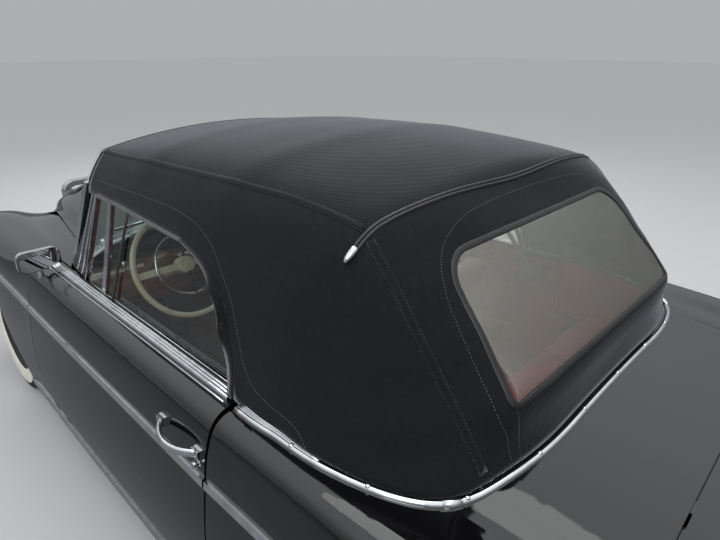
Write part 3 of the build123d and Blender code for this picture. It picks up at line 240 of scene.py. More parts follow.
floor_mesh.materials.append(finish("pale_floor_paint", floor_paint))
print("lamps", len(LAMPS), "and a floor", 2 * FLOOR_HALF, "m wide")

# %% [markdown]
# ## Enamel and plate
# The body is black cellulose enamel: many thin coats rubbed flat and polished by hand. It is a
# dielectric with an index of about 1.6, so it mirrors the sky mostly at a slant, and hand
# polishing leaves a very slight waviness that only its reflections show. Trim is brass or steel,
# plated with nickel and then chromium: a metal with a cool grey tint and almost no blur.

# %% Enamel and plate
def black_enamel(m):
    """Rubbed and polished by hand: a deep black mirror that wavers a little where light glances."""
    haze, waves = texture(m, 60, 4), texture(m, 140, 1)
    return skin(m, {"IOR": 1.68}, (haze, (0.2, "#040405"), (0.8, "#09090B")), (haze, 0.03, 0.09),
                (waves, 0.4, 0.2))


def bright_plate(m):
    """Chromium over nickel: a cool grey mirror, faintly blurred where hands have smeared it."""
    smear, ripple = texture(m, 35, 5), texture(m, 18, 2)
    return skin(m, {"Metallic": 1.0}, (smear, (0.25, "#C2C6CB"), (0.75, "#E2E4E6")), (smear, 0.035, 0.12),
                (ripple, 0.15, 0.2))


def stove_black(m):
    """Sprayed on and baked: dull black with a fine orange peel, painted a little darker in its dips as shade.
    """
    speck = texture(m, 9, 6)
    # the speck pattern sets both colour and the peel's height: a random tone, and painted shade in the dips
    return skin(m, {}, (speck, (0.3, "#161616"), (0.7, "#2A2928")), (speck, 0.45, 0.75), (speck, 0.4, 0.4))


def bare_steel(m):
    """Pressed sheet left bare: grey and half dull, with drawing marks along the car."""
    scratch, stain = texture(m, 4, 5, stretch=(12, 1, 1)), texture(m, 120, 4)
    return skin(m, {"Metallic": 0.85}, (stain, (0.3, "#5F6062"), (0.7, "#8B8C8E")), (scratch, 0.35, 0.6),
                (scratch, 0.15, 0.3))


def painted_casting(m):
    """Sand-cast iron under thin paint: dark, pitted and dull."""
    stain, pits = texture(m, 80, 4), texture(m, 5, 6)
    return skin(m, {"Metallic": 0.2}, (stain, (0.3, "#28292A"), (0.7, "#444443")), (pits, 0.5, 0.8),
                (pits, 0.8, 0.5))


enamel = finish("black_cellulose_enamel", black_enamel)
plate = finish("chromium_plate", bright_plate)
underbody = finish("black_stove_enamel", stove_black)
steel = finish("pressed_steel", bare_steel)
iron = finish("painted_cast_iron", painted_casting)
print("made", [m.name for m in (enamel, plate, underbody, steel, iron)])


# %% [markdown]
# ## Canvas, vinyl and glass
# The top is a double-texture cotton canvas, rubber between two woven faces, dyed charcoal black.
# Its threads are under a millimetre apart, which this view can't show, so the weave is drawn at
# four millimetres. The rear window is clear flexible vinyl, a little yellow and never quite flat.

# %% Woven cloth and thread
WEAVE_MM = 4.0
# a wave texture draws this many bands in the length that its scale stands for
BANDS_IN_SCALE = 3.14


def woven(m, spacing_mm):
    """Height of a plain weave: three crossed sets of bands, so that no side of the cloth is bare."""
    total = texture(m, 25, 2.0, {"Roughness": 0.5})
    for axis in ("X", "Y", "Z"):
        bands = texture(m, spacing_mm * BANDS_IN_SCALE, 2.0, {"Distortion": 1.2, "Detail Scale": 0.6},
                        kind="Wave", bands_direction=axis, wave_profile="SIN")
        total = add_node(m, "ShaderNodeMath", operation="MULTIPLY_ADD", values={1: 0.34},
                         links={0: bands, 2: total}).outputs[0]
    return total


def canvas_cloth(m):
    """Dyed cotton: matt charcoal, paler at a slant where the nap catches light, dusty in places."""
    tones = []
    for spacing_mm, detail, rough, *stops in ((260, 5, 0.6, (0.3, "#0C0D0F"), (0.7, "#131417")),
                                              (12, 6, 0.7, (0.3, "#0B0C0E"), (0.75, "#212226"))):
        mottle = texture(m, spacing_mm, detail, {"Roughness": rough})
        tones.append(add_node(m, "ShaderNodeValToRGB", links={"Fac": mottle}, stops=stops).outputs["Color"])
    tone = add_node(m, "ShaderNodeMix", data_type="RGBA", values={0: 0.35}, links={6: tones[0], 7: tones[1]})
    threads = add_node(m, "ShaderNodeBump", values={"Strength": 0.55, "Distance": 0.8 * MM},
                       links={"Height": woven(m, WEAVE_MM)})
    return add_node(m, "ShaderNodeBsdfPrincipled", values={
        "Roughness": 0.9, "Sheen Weight": 0.85, "Sheen Roughness": 0.30, "Sheen Tint": colour("#A9ADB4"),
        "Specular IOR Level": 0.2,
    }, links={"Base Color": tone.outputs[2], "Normal": threads.outputs["Normal"]})


def lining_cloth(m):
    """The canvas's inner face: brown grey and quite matt."""
    return skin(m, {"Roughness": 0.95, "Specular IOR Level": 0.2},
                (texture(m, 90, 5), (0.3, "#2E2B29"), (0.7, "#46423E")),
                relief=(woven(m, WEAVE_MM), 0.6, 0.4))


def linen_thread(dark, light):
    """Waxed thread: matt, with a soft sheen and a twist that is drawn coarser than it is; its grooves are
    painted darker as shade and its strands lighter.
    """
    def twisted(m):
        twist = texture(m, 2, 3, stretch=(1, 1, 3))
        # the colour follows the twist's height: painted shade in its grooves, painted light on its strands
        return skin(m, {"Roughness": 0.8, "Sheen Weight": 0.3}, (twist, (0.3, dark), (0.7, light)),
                    relief=(twist, 0.3, 0.5))
    return twisted


canvas = finish("charcoal_woven_canvas", canvas_cloth)
lining = finish("woven_headlining", lining_cloth)
thread = finish("waxed_linen_thread", linen_thread("#3B3C40", "#5C5D62"))
black_thread = finish("black_linen_thread", linen_thread("#121315", "#222326"))
print("weave drawn at", WEAVE_MM, "mm")


# %% Glass and vinyl
def clear_pane(tint, blur, mirror_share, least):
    """A thin clear sheet: see-through, and mirroring more at a slant."""
    def clear(m):
        mirror_side = add_node(m, "ShaderNodeBsdfGlossy",
                               values={"Color": colour("#F4F6F7"), "Roughness": blur})
        through = add_node(m, "ShaderNodeBsdfTransparent", values={"Color": colour(tint)})
        slant = add_node(m, "ShaderNodeFresnel", values={"IOR": 1.45})
        share = add_node(m, "ShaderNodeMath", operation="MULTIPLY_ADD", values={1: mirror_share, 2: least},
                         links={0: slant.outputs[0]})
        return add_node(m, "ShaderNodeMixShader", links={
            0: share.outputs[0], 1: through.outputs[0], 2: mirror_side.outputs[0]})
    return clear


safety_glass = finish("clear_safety_glass", clear_pane("#F1F5F3", 0.01, 0.20, 0.0))
vinyl = finish("clear_flexible_vinyl", clear_pane("#EFEEE8", 0.02, 0.44, 0.01))
print("made", [m.name for m in (safety_glass, vinyl)])


# %% [markdown]
# ## Pieces from lists of points
# Trim is made here as lists of points and faces. One helper joins such lists into a piece that
# rides on a body of the frame, and another keeps the edges sharp
# that are sharp on the real part.

# %% Pieces
SIDES = (("left", 1), ("right", -1))


def mesh_piece(name, parts, body, slot, *materials):
    """A piece from parts of (points, faces, material number), riding on a body."""
    mesh = bpy.data.meshes.new(name)
    work = bmesh.new()
    for points, faces, number in parts:
        made = [work.verts.new(Vector(p)) for p in points]
        for face in faces:
            try:
                work.faces.new([made[k] for k in face]).material_index = number
            except ValueError:
                # a face that is already there is left out
                continue
    bmesh.ops.remove_doubles(work, verts=work.verts, dist=2e-6)
    bmesh.ops.dissolve_degenerate(work, edges=work.edges, dist=1e-6)
    bmesh.ops.recalc_face_normals(work, faces=work.faces)
    for face in work.faces:
        face.smooth = True
    work.to_mesh(mesh)
    work.free()
    for material in materials:
        mesh.materials.append(material)
    piece = bpy.data.objects.new(name, mesh)
    scene.collection.objects.link(piece)
    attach(piece, body)
    return piece


def crisp(piece, degrees=40):
    """Keeps the edges that turn by more than this many degrees sharp."""
    work = bmesh.new()
    work.from_mesh(piece.data)
    for edge in work.edges:
        if len(edge.link_faces) == 2 and edge.calc_face_angle(0) > math.radians(degrees):
            edge.smooth = False
    work.to_mesh(piece.data)
    work.free()


print("a side's name and its sign across the car:", SIDES)


# %% [markdown]
# Most trim on a car is one profile bent along a line. At each station the profile stands square
# to the line, with a given direction as its up.

# %% Swept forms
def unit(vectors):
    """Vectors made one long."""
    vectors = np.asarray(vectors, float)
    return vectors / np.maximum(np.linalg.norm(vectors, axis=-1, keepdims=True), 1e-9)


def swept(path, ups, profile, number=0, loop=False):
    """A closed profile of (across, up) run along a path, with its ends capped."""
    path = np.asarray(path, float)
    count, size = len(path), len(profile)
    ahead = np.roll(path, -1, 0) - np.roll(path, 1, 0)
    if not loop:
        ahead[0], ahead[-1] = path[1] - path[0], path[-1] - path[-2]
    ahead = unit(ahead)
    across = unit(np.cross(np.broadcast_to(np.asarray(ups, float), path.shape), ahead))
    up = np.cross(ahead, across)
    profile = np.asarray(profile, float)
    points = path[:, None] + across[:, None] * profile[None, :, :1] + up[:, None] * profile[None, :, 1:]
    faces = []
    for i in range(count if loop else count - 1):
        j = (i + 1) % count
        for k in range(size):
            n = (k + 1) % size
            faces.append((i * size + k, i * size + n, j * size + n, j * size + k))
    if not loop:
        faces.append(tuple(range(size)))
        faces.append(tuple((count - 1) * size + k for k in reversed(range(size))))
    return points.reshape(-1, 3).tolist(), faces, number


three_sided = swept([(0, 0, 0), (1, 0, 0)], (0, 0, 1), [(0, 0), (1, 0), (0, 1)])
print("a straight bar of three sides has", len(three_sided[1]), "faces")

# %% [markdown]
# The other forms are a profile turned about an axis, as a knob or screw is, and a block with
# rounded edges. The commonest profile of a swept strip is a half-round bar.

# %% Turned forms, blocks and half-round bars
ARCH_STEPS = 6


def turned(profile, place, axis, number=0, steps=24):
    """A profile of (radius, along) turned about an axis through a place."""
    axis = Vector(axis).normalized()
    u = axis.orthogonal().normalized()
    v = axis.cross(u)
    points = []
    for k in range(steps):
        angle = 2 * math.pi * k / steps
        out = u * math.cos(angle) + v * math.sin(angle)
        points += [Vector(place) + out * radius + axis * along for radius, along in profile]
    size = len(profile)
    faces = []
    for k in range(steps):
        n = (k + 1) % steps
        faces += [(k * size + i, n * size + i, n * size + i + 1, k * size + i + 1) for i in range(size - 1)]
    return points, faces, number


def block(low, high, bevel, number=0, segments=2):
    """A block between two corners with its edges rounded."""
    work = bmesh.new()
    bmesh.ops.create_cube(work, size=1)
    low, high = Vector(low), Vector(high)
    for vert in work.verts:
        vert.co = Vector([low[k] + (vert.co[k] + 0.5) * (high[k] - low[k]) for k in range(3)])
    bmesh.ops.bevel(work, geom=work.edges[:], offset=bevel, segments=segments, profile=0.5,
                    affect="EDGES")
    points = [v.co.copy() for v in work.verts]
    faces = [[v.index for v in face.verts] for face in work.faces]
    work.free()
    return points, faces, number


def half_round(width, height, foot=0.0):
    """A half-round profile of (across, up), flat underneath, or let in by a foot so deep."""
    angles = [math.pi * k / ARCH_STEPS for k in range(ARCH_STEPS + 1)]
    arch = [(width / 2 * math.cos(a), height * math.sin(a)) for a in angles]
    return arch + [(-width / 2, -foot), (width / 2, -foot)] if foot else arch


print("a half-round bar has", len(half_round(1, 1)), "points at each station")


# %% [markdown]
# Trim lies on other surfaces, so its lines are found by rays: a search tree over some panels says
# where a ray meets them. Lines are then spaced evenly, bent, eased at their corners or mirrored.

# %% Surfaces and lines
def tree_of(*surfaces):
    """A search tree over some surfaces, each a mesh or the name of one of the frame's nodes."""
    points, faces = [], []
    for surface in surfaces:
        mesh = nodes[surface].data if isinstance(surface, str) else surface
        base = len(points)
        points += [v.co.copy() for v in mesh.vertices]
        faces += [[base + k for k in face.vertices] for face in mesh.polygons]
    return BVHTree.FromPolygons(points, faces)


def cast(tree, start, direction):
    """Where a ray meets a surface, or the surface's nearest point if it misses."""
    place = tree.ray_cast(Vector(start), Vector(direction).normalized())[0]
    return place if place is not None else tree.find_nearest(Vector(start))[0]


def resample(line, count):
    """A line of points, spaced evenly into this many runs."""
    line = np.asarray([tuple(p) for p in line], float)
    length = np.concatenate([[0], np.cumsum(np.linalg.norm(np.diff(line, axis=0), axis=1))])
    even = np.linspace(0, length[-1], count + 1)
    return np.stack([np.interp(even, length, line[:, k]) for k in range(3)], 1)


def spaced(line, spacing):
    """A line of points resampled at about this spacing."""
    line = np.asarray([tuple(p) for p in line], float)
    length = float(np.linalg.norm(np.diff(line, axis=0), axis=1).sum())
    return resample(line, max(2, round(length / spacing)))


def eased(line, rounds):
    """A line whose inner points have moved towards their neighbours, some rounds long."""
    line = np.array(line, float)
    for _ in range(rounds):
        line[1:-1] = (line[:-2] + 2 * line[1:-1] + line[2:]) / 4
    return line


def right_side(line):
    """A line of the left side mirrored to the right."""
    return [(x, -y, z) for x, y, z in line]


def bend(p0, heading0, p1, heading1, count):
    """A smooth curve between two points of a plane, leaving and arriving at headings in degrees."""
    p0, p1 = np.array(p0, float), np.array(p1, float)
    reach = np.linalg.norm(p1 - p0)
    t0, t1 = [reach * np.array([math.cos(h), math.sin(h)]) for h in np.radians((heading0, heading1))]
    t = np.linspace(0, 1, count + 1)[:, None]
    return ((2 * t**3 - 3 * t**2 + 1) * p0 + (t**3 - 2 * t**2 + t) * t0
            + (3 * t**2 - 2 * t**3) * p1 + (t**3 - t**2) * t1)


grille_front = cast(tree_of("grille"), (3.0, 0, 0.6), (-1, 0, 0))
print("a ray from the front meets the grille at x", round(grille_front.x, 3))


# %% [markdown]
# ## The folding top: finding its surface
# A real top is cut from five panels of canvas, sewn, and pulled over the bows until it is tight.
# Modelling it as one net of squares keeps that tightness. The net follows the sheet's own edges:
# one part covers the roof, and a skirt runs from the left corner of the windscreen, round the
# back, to the right corner. Each knot of the net is found by a ray onto the frame's plain top.

# %% The net's edges
HEADER_CORNER = (0.472, 0.655)
HEADER_CENTRE_X = 0.577
BOW_CENTRE_X = -0.826
BOW_CORNER_X = -0.800
SEAM_Y = 0.548
SEAM_STOPS = [-0.10, -0.45, -0.62, BOW_CORNER_X]
RUNS = [14, 14, 5, 12]
BACK_RUNS = 14
SKIRT_ROWS = 15
ROUND_RAYS = 61
OPENING_TOP = [(0.217, 1.296), (-0.190, 1.279)]
OPENING_REAR = [((-0.190, 1.279), 187), ((-0.453, 1.152), 236), ((-0.542, 0.953), 258)]
DOOR_REAR_X = -0.566
BASE_CORNER = Vector((-1.143, 0.544))
BELT_Z = 0.956
ROUND_CENTRE = Vector((-0.70, 0, 0.985))
# a line inside the car, from which the skirt's knots are pushed out
HEART_X = -0.62
HEART_Y = 0.25
HEART_Z = 1.12

shell_tree = tree_of("top_fabric", "rear_window")
deck_tree = tree_of("quarter_panels", "boot_tub")


def header_x(y):
    """Where the windscreen header runs, at a distance from the middle."""
    return HEADER_CENTRE_X - (HEADER_CENTRE_X - HEADER_CORNER[0]) * (y / HEADER_CORNER[1]) ** 2


def bow_x(y):
    """Where the rear bow runs, at a distance from the middle."""
    return BOW_CENTRE_X + (BOW_CORNER_X - BOW_CENTRE_X) * (y / SEAM_Y) ** 2


def on_side(x, z):
    """The top's left side at a station and a height."""
    return cast(shell_tree, (x, 1.3, z), (0, -1, 0))


def beside_edge(x, z, inward):
    """A point on an edge of the side: its height on the surface is read 20 and 50 mm in from the edge."""
    near = on_side(x + inward[0] * 0.020, z + inward[1] * 0.020)
    far = on_side(x + inward[0] * 0.050, z + inward[1] * 0.050)
    return Vector((x, near.y + (near.y - far.y) * 0.4, z))


def on_roof(x, y):
    """The top's roof at a place, met from above."""
    return cast(shell_tree, (x, y, 2.0), (0, 0, -1))


def deck_height(x, y):
    """The deck's height at a place."""
    return cast(deck_tree, (x, y, 1.2), (0, 0, -1)).z


print("header from x", round(header_x(0), 3), "to", round(header_x(SEAM_Y), 3))

# %% [markdown]
# The skirt's upper edge follows the roof seam and then the rear bow. Its lower edge follows the
# side window's opening, the belt line and the round foot of the top. The plain top is rounded off
# at the opening, so the surface is read a little way in and a smooth curve is fitted through it.

# %% Upper and lower edge
stops = [header_x(SEAM_Y), *SEAM_STOPS]
upper = []
for x0, x1, count in zip(stops, stops[1:], RUNS):
    upper += [(x0 + (x1 - x0) * k / count, SEAM_Y) for k in range(count)]
upper += [(bow_x(y), y) for y in np.linspace(SEAM_Y, 0, BACK_RUNS + 1)]
upper = [on_roof(x, y) for x, y in upper]

front_line = [beside_edge(x, z, (0, 1)) for x, z in [(HEADER_CORNER[0], 1.292), *OPENING_TOP]]
front_line = resample(front_line, RUNS[0])
curve = []
for (p0, h0), (p1, h1) in zip(OPENING_REAR, OPENING_REAR[1:]):
    curve += [beside_edge(x, z, (-0.7, 0.7)) for x, z in bend(p0, h0, p1, h1, 10)]
curve[0] = Vector(front_line[-1])
curve = resample(curve, 60)
fitted = np.polyfit(curve[:, 2], curve[:, 1], 2)
kept = np.abs(np.polyval(fitted, curve[:, 2]) - curve[:, 1]) < 0.012
fitted = np.polyfit(curve[kept, 2], curve[kept, 1], 3)
curve[:, 1] = np.polyval(fitted, curve[:, 2])
curve = eased(curve, 10)
print("rear edge fitted through", int(kept.sum()), "of", len(kept), "points")
rear_line = resample(curve, RUNS[1])
foot_line = [on_side(x, BELT_Z) for x in np.linspace(OPENING_REAR[-1][0][0], DOOR_REAR_X - 0.002, 3)]
foot_line += [on_side(x, BELT_Z + 0.002) for x in np.linspace(DOOR_REAR_X - 0.01, ROUND_CENTRE.x, 8)]
round_line = []
for angle in np.radians(np.linspace(90, 180, ROUND_RAYS)):
    outward = Vector((math.cos(angle), math.sin(angle), 0))
    round_line.append(cast(shell_tree, ROUND_CENTRE + outward * 1.2, -outward))
split = min(range(ROUND_RAYS), key=lambda k: (round_line[k].xy - BASE_CORNER).length)
lower = np.vstack([front_line[:-1], rear_line[:-1], resample(foot_line, RUNS[2])[:-1],
                   resample(round_line[:split + 1], RUNS[3])[:-1], resample(round_line[split:], BACK_RUNS)])
first_base = RUNS[0] + RUNS[1]
for k in range(first_base, len(lower)):
    x, y = lower[k][:2]
    lower[k][2] = BELT_Z - 0.003 if x > DOOR_REAR_X else deck_height(x, y) + 0.002
print("net stations", 2 * len(upper) - 1, "lowest", round(float(lower[:, 2].min()), 3))


# %% [markdown]
# The skirt's inner knots lie between its two edges, pushed out onto the plain top from a line
# inside the car. The right half is the left half mirrored, so both meet on the middle.

# %% The net
def outward_from_heart(place):
    """The direction from the line inside the car out through a place."""
    heart = Vector((max(place.x, HEART_X), max(-HEART_Y, min(HEART_Y, place.y)), HEART_Z))
    return (place - heart).normalized()


skirt = []
for high, low in zip(upper, lower):
    low = Vector(low)
    column = []
    for row in range(SKIRT_ROWS + 1):
        place = high.lerp(low, row / SKIRT_ROWS)
        if 0 < row < SKIRT_ROWS:
            outward = outward_from_heart(place)
            place = cast(shell_tree, place + outward * 0.4, -outward)
        column.append(place)
    skirt.append(column)
skirt += [[Vector(p) for p in right_side(column)] for column in reversed(skirt[:-1])]
STATIONS = len(skirt)

side_runs = sum(RUNS)
across = 2 * BACK_RUNS
roof = []
for i in range(side_runs + 1):
    share = (upper[0].x - upper[i].x) / (upper[0].x - upper[side_runs].x)
    row = []
    for j in range(across + 1):
        y = SEAM_Y * (1 - 2 * j / across)
        x = header_x(y) + (bow_x(y) - header_x(y)) * share
        row.append(on_roof(x, y))
    row[0], row[-1] = skirt[i][0], skirt[STATIONS - 1 - i][0]
    roof.append(row)
roof[-1] = [skirt[side_runs + j][0] for j in range(across + 1)]

points = [p for column in skirt for p in column] + [p for row in roof for p in row]
size = SKIRT_ROWS + 1
base, wide = STATIONS * size, across + 1
net_faces = [(a, a + size, a + size + 1, a + 1)
             for a in (i * size + k for i in range(STATIONS - 1) for k in range(SKIRT_ROWS))]
net_faces += [(a, a + 1, a + wide + 1, a + wide)
              for a in (base + i * wide + j for i in range(side_runs) for j in range(across))]
print("net of", len(points), "knots and", len(net_faces), "squares")

# %% [markdown]
# Pulling the cloth tight is a smoothing: each free knot moves towards the middle of its
# neighbours, while the edges stay where they are nailed. The bows then lift the cloth a little
# along their crests, and low noise gives the ease that sewn canvas always keeps.

# %% Ease and window plane
# columns: x of a bow's crest, rise in metres, half width of the ridge in metres
BOW_RIDGES = [(0.15, 0.0035, 0.07), (-0.33, 0.0035, 0.07)]
ROOF_EDGE_Z = 1.36
EASE = 0.0016
EASE_WAVES = 5.0
SAG = 0.0025
SAG_X = -0.62
SAG_REACH = 0.25
# wrinkles lie along the car: few waves in a metre along and across, many in a metre up
WRINKLE = 0.0035
WRINKLE_WAVES = Vector((4, 5, 26))
WRINKLE_Z = 1.02
WRINKLE_REACH = 0.16
WRINKLE_FRONT_X = -0.85
WRINKLE_FRONT_SHARE = 0.35
# folds at the corners, with their waves in radians for each metre up and across
CORNER_FOLD = 0.004
FOLD_WAVES = (62, 18)
FOLD_AT = (-1.02, 0.60)
FOLD_SPREAD = 0.03
PULL_REACH = 0.07
PULL_DEPTH = 0.06
PULL_SHARE = 0.92
PANE_CROWN = 0.004
WINDOW_BOTTOM_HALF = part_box("rear_window")[1][1] - 0.004
window_foot = Vector((-1.143, 0, 1.098))
window_head = Vector((-0.918, 0, 1.339))
WINDOW_HEIGHT = (window_head - window_foot).length
slope = (window_head - window_foot).normalized()
window_out = slope.cross(Vector((0, 1, 0))).normalized()
lean = math.degrees(math.acos(slope.z))
print("window", round(WINDOW_HEIGHT, 3), "m high, leaning", round(lean, 1), "degrees")


def slack(place):
    """How far the cloth stands out from its tight shape at a place, in metres."""
    ease = EASE * noise.noise(place * EASE_WAVES)
    if place.z > ROOF_EDGE_Z:
        return ease + sum(height * math.exp(-((place.x - x) / width) ** 2) for x, height, width in BOW_RIDGES)
    low = max(0.0, 1 - abs(place.z - WRINKLE_Z) / WRINKLE_REACH)
    low *= 1 if place.x < WRINKLE_FRONT_X else WRINKLE_FRONT_SHARE
    ease += WRINKLE * low * noise.noise(place * WRINKLE_WAVES)
    near = math.exp(-((place.x - FOLD_AT[0]) ** 2 + (abs(place.y) - FOLD_AT[1]) ** 2) / FOLD_SPREAD)
    ease += CORNER_FOLD * near * math.sin(place.z * FOLD_WAVES[0] + place.y * FOLD_WAVES[1])
    return ease - SAG * max(0.0, 1 - abs(place.x - SAG_X) / SAG_REACH)


def flat_back(place):
    """Where a place lies in the window's plane, and how far the stretched window draws it there."""
    off = place - window_foot
    s, depth = off.dot(slope), off.dot(window_out)
    beyond = math.hypot(max(0.0, abs(place.y) - WINDOW_BOTTOM_HALF), max(0.0, -s, s - WINDOW_HEIGHT))
    share = max(0.0, 1 - beyond / PULL_REACH) if abs(depth) <= PULL_DEPTH else 0.0
    crown = PANE_CROWN * (1 - (place.y / WINDOW_BOTTOM_HALF) ** 2)
    return place - window_out * (depth - crown), PULL_SHARE * share * share * (3 - 2 * share)


# %% Pulling the net tight
SMOOTHING = 14


def relax(work, knots, rounds):
    """Moves knots towards the middle of their neighbours, some rounds long."""
    for _ in range(rounds):
        bmesh.ops.smooth_vert(work, verts=knots, factor=0.5, use_axis_x=True, use_axis_y=True,
                              use_axis_z=True)


cloth_mesh = bpy.data.meshes.new("canvas_top")
work = bmesh.new()
made = [work.verts.new(p) for p in points]
for face in net_faces:
    work.faces.new([made[k] for k in face])
bmesh.ops.remove_doubles(work, verts=work.verts, dist=1e-5)
bmesh.ops.recalc_face_normals(work, faces=work.faces)
free = [v for v in work.verts if not v.is_boundary]
relax(work, free, SMOOTHING)
for vert in free:
    vert.co = vert.co.lerp(*flat_back(vert.co))
work.normal_update()
if sum(f.normal.dot(f.calc_center_median() - Vector((-0.3, 0, HEART_Z))) for f in work.faces) < 0:
    bmesh.ops.reverse_faces(work, faces=work.faces)
work.normal_update()
moves = [(v, v.normal * slack(v.co)) for v in free]
for vert, move in moves:
    vert.co += move
bmesh.ops.subdivide_edges(work, edges=work.edges, cuts=1, use_grid_fill=True, smooth=0.0)
relax(work, [v for v in work.verts if not v.is_boundary], 2)
CLOTH_AREA = sum(f.calc_area() for f in work.faces)
for face in work.faces:
    face.smooth = True
work.normal_update()
work.to_mesh(cloth_mesh)
work.free()
cloth_tree = tree_of(cloth_mesh)
print("net area", round(CLOTH_AREA, 2), "square metres, faces", len(cloth_mesh.polygons))

# %% [markdown]
# ## Rear window
# The window is a sheet of vinyl sewn into a hole in the cloth, with a black binding over the
# joint. A prism cuts the hole from the thickened cloth, and cuts the same outline from a second
# skin to make the pane, so that the two always agree.

# %% The window's outline
WINDOW_TOP_HALF = WINDOW_BOTTOM_HALF - 0.028
WINDOW_TOP_RADIUS = 0.085
WINDOW_BOTTOM_RADIUS = 0.018
CORNER_STEPS = 9
STATION = 0.02


def window_line(grow):
    """The window's outline in its own plane, from the bottom left corner round over the top."""
    # columns: across, up the slope, radius, outward signs of both, first angle of the round
    corners = [(WINDOW_BOTTOM_HALF, 0, WINDOW_BOTTOM_RADIUS, 1, -1, -90),
               (WINDOW_TOP_HALF, WINDOW_HEIGHT, WINDOW_TOP_RADIUS, 1, 1, 0),
               (-WINDOW_TOP_HALF, WINDOW_HEIGHT, WINDOW_TOP_RADIUS, -1, 1, 90),
               (-WINDOW_BOTTOM_HALF, 0, WINDOW_BOTTOM_RADIUS, -1, -1, 180)]
    flat = []
    for y, s, radius, y_sign, s_sign, first in corners:
        radius += grow
        centre = (y + y_sign * (grow - radius), s + s_sign * (grow - radius))
        for k in range(CORNER_STEPS + 1):
            angle = math.radians(first + 90 * k / CORNER_STEPS)
            flat.append((centre[0] + radius * math.cos(angle), centre[1] + radius * math.sin(angle)))
    line = []
    for (y0, s0), (y1, s1) in zip(flat, flat[1:] + flat[:1]):
        pieces = max(1, int(math.hypot(y1 - y0, s1 - s0) / STATION))
        line += [(y0 + (y1 - y0) * k / pieces, s0 + (s1 - s0) * k / pieces) for k in range(pieces)]
    return [window_foot + slope * s + Vector((0, y, 0)) for y, s in line]


print("window outline of", len(window_line(0.0)), "points")

# %% [markdown]
# The cutter is that outline drawn out to both sides. A modifier thickens the net, another cuts
# it, and both are then applied, so that the piece is an ordinary mesh.

# %% Cutter and thick sheets
PRISM_DEPTH = 0.12


def prism_piece(grow):
    """A block with the window's outline, for cutting."""
    line = window_line(grow)
    mesh = bpy.data.meshes.new("window_cutter")
    cut = bmesh.new()
    front = [cut.verts.new(p + window_out * PRISM_DEPTH) for p in line]
    back = [cut.verts.new(p - window_out * PRISM_DEPTH) for p in line]
    cut.faces.new(front)
    cut.faces.new(back[::-1])
    for k in range(len(line)):
        n = (k + 1) % len(line)
        cut.faces.new((front[n], front[k], back[k], back[n]))
    bmesh.ops.recalc_face_normals(cut, faces=cut.faces)
    cut.to_mesh(mesh)
    cut.free()
    piece = bpy.data.objects.new("window_cutter", mesh)
    scene.collection.objects.link(piece)
    return piece


def apply_modifiers(piece):
    """Turns a piece's modifiers into its own mesh."""
    graph = bpy.context.evaluated_depsgraph_get()
    solved = bpy.data.meshes.new_from_object(piece.evaluated_get(graph))
    piece.modifiers.clear()
    old = piece.data
    piece.data = solved
    bpy.data.meshes.remove(old)


def thick_sheet(name, thickness, cutter, operation, *materials):
    """The net made into a solid sheet and cut by the window's prism."""
    piece = bpy.data.objects.new(name, cloth_mesh.copy())
    scene.collection.objects.link(piece)
    for material in materials:
        piece.data.materials.append(material)
    solid = piece.modifiers.new("thickness", "SOLIDIFY")
    solid.thickness = thickness
    solid.offset = -1
    solid.material_offset = 1 if len(materials) > 1 else 0
    cut = piece.modifiers.new("window", "BOOLEAN")
    cut.object = cutter
    cut.operation = operation
    cut.solver = "EXACT"
    apply_modifiers(piece)
    for face in piece.data.polygons:
        face.use_smooth = True
    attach(piece, "body_shell")
    return piece


print("cutter", 2 * PRISM_DEPTH, "m deep")

# %% [markdown]
# Canvas of two layers and rubber is nearly 3 mm thick, the vinyl little over 1 mm. The pane
# reaches 12 mm into the cloth all round, as a sewn pane does.

# %% Cloth and pane
CLOTH_THICKNESS = 0.0028
PANE_THICKNESS = 0.0012
PANE_LAP = 0.012
hole = prism_piece(0.0)
cloth = thick_sheet("canvas_top", CLOTH_THICKNESS, hole, "DIFFERENCE", canvas, lining)
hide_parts("top_fabric")
pane_cutter = prism_piece(PANE_LAP)
rear_pane = thick_sheet("rear_window_pane", PANE_THICKNESS, pane_cutter, "INTERSECT", vinyl)
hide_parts("rear_window")
for cutter in (hole, pane_cutter):
    bpy.data.objects.remove(cutter)
print("canvas", len(cloth.data.polygons), "faces, pane", len(rear_pane.data.polygons), "faces")


# %% [markdown]
# ## Seams, piping and stitches
# Panels of canvas meet in a lapped seam with two rows of thread. Where the cloth turns over an
# edge it is piped: a strip wrapped round a cord. Each is a profile swept along a line that has
# been laid onto the cloth, with the cloth's own direction as its up.

# %% Seams and stitches
def laid(line, lift=0.0, along=None):
    """A line moved onto the cloth, to the nearest point or along a direction, and the cloth's directions."""
    places, ups = [], []
    for p in line:
        place, normal, _, _ = cloth_tree.find_nearest(Vector(p))
        if along is not None:
            hit, hit_normal, _, _ = cloth_tree.ray_cast(Vector(p) + along * 0.2, -along)
            if hit is not None:
                place, normal = hit, hit_normal
        places.append(place + normal * lift)
        ups.append(normal)
    return np.array([tuple(p) for p in places]), np.array([tuple(n) for n in ups])


def offset_line(line, ups, sideways):
    """A line moved along its surface to one side."""
    ahead = np.gradient(line, axis=0)
    return line + unit(np.cross(ups, ahead)) * sideways


STITCH_PITCH = 0.0075
STITCH_LENGTH = 0.0048
STITCH_WIDTH = 0.0014
# a stitch's points as shares of its half length, half width and height: a bar with pointed ends
STITCH_POINTS = [(-1, 0, 0), (-0.5, -1, 0), (-0.5, 1, 0), (-0.5, 0, 1),
                 (0.5, -1, 0), (0.5, 1, 0), (0.5, 0, 1), (1, 0, 0)]
STITCH_FACES = [(0, 1, 3), (0, 3, 2), (1, 4, 6, 3), (3, 6, 5, 2), (4, 7, 6), (6, 7, 5)]
stitch_parts = []


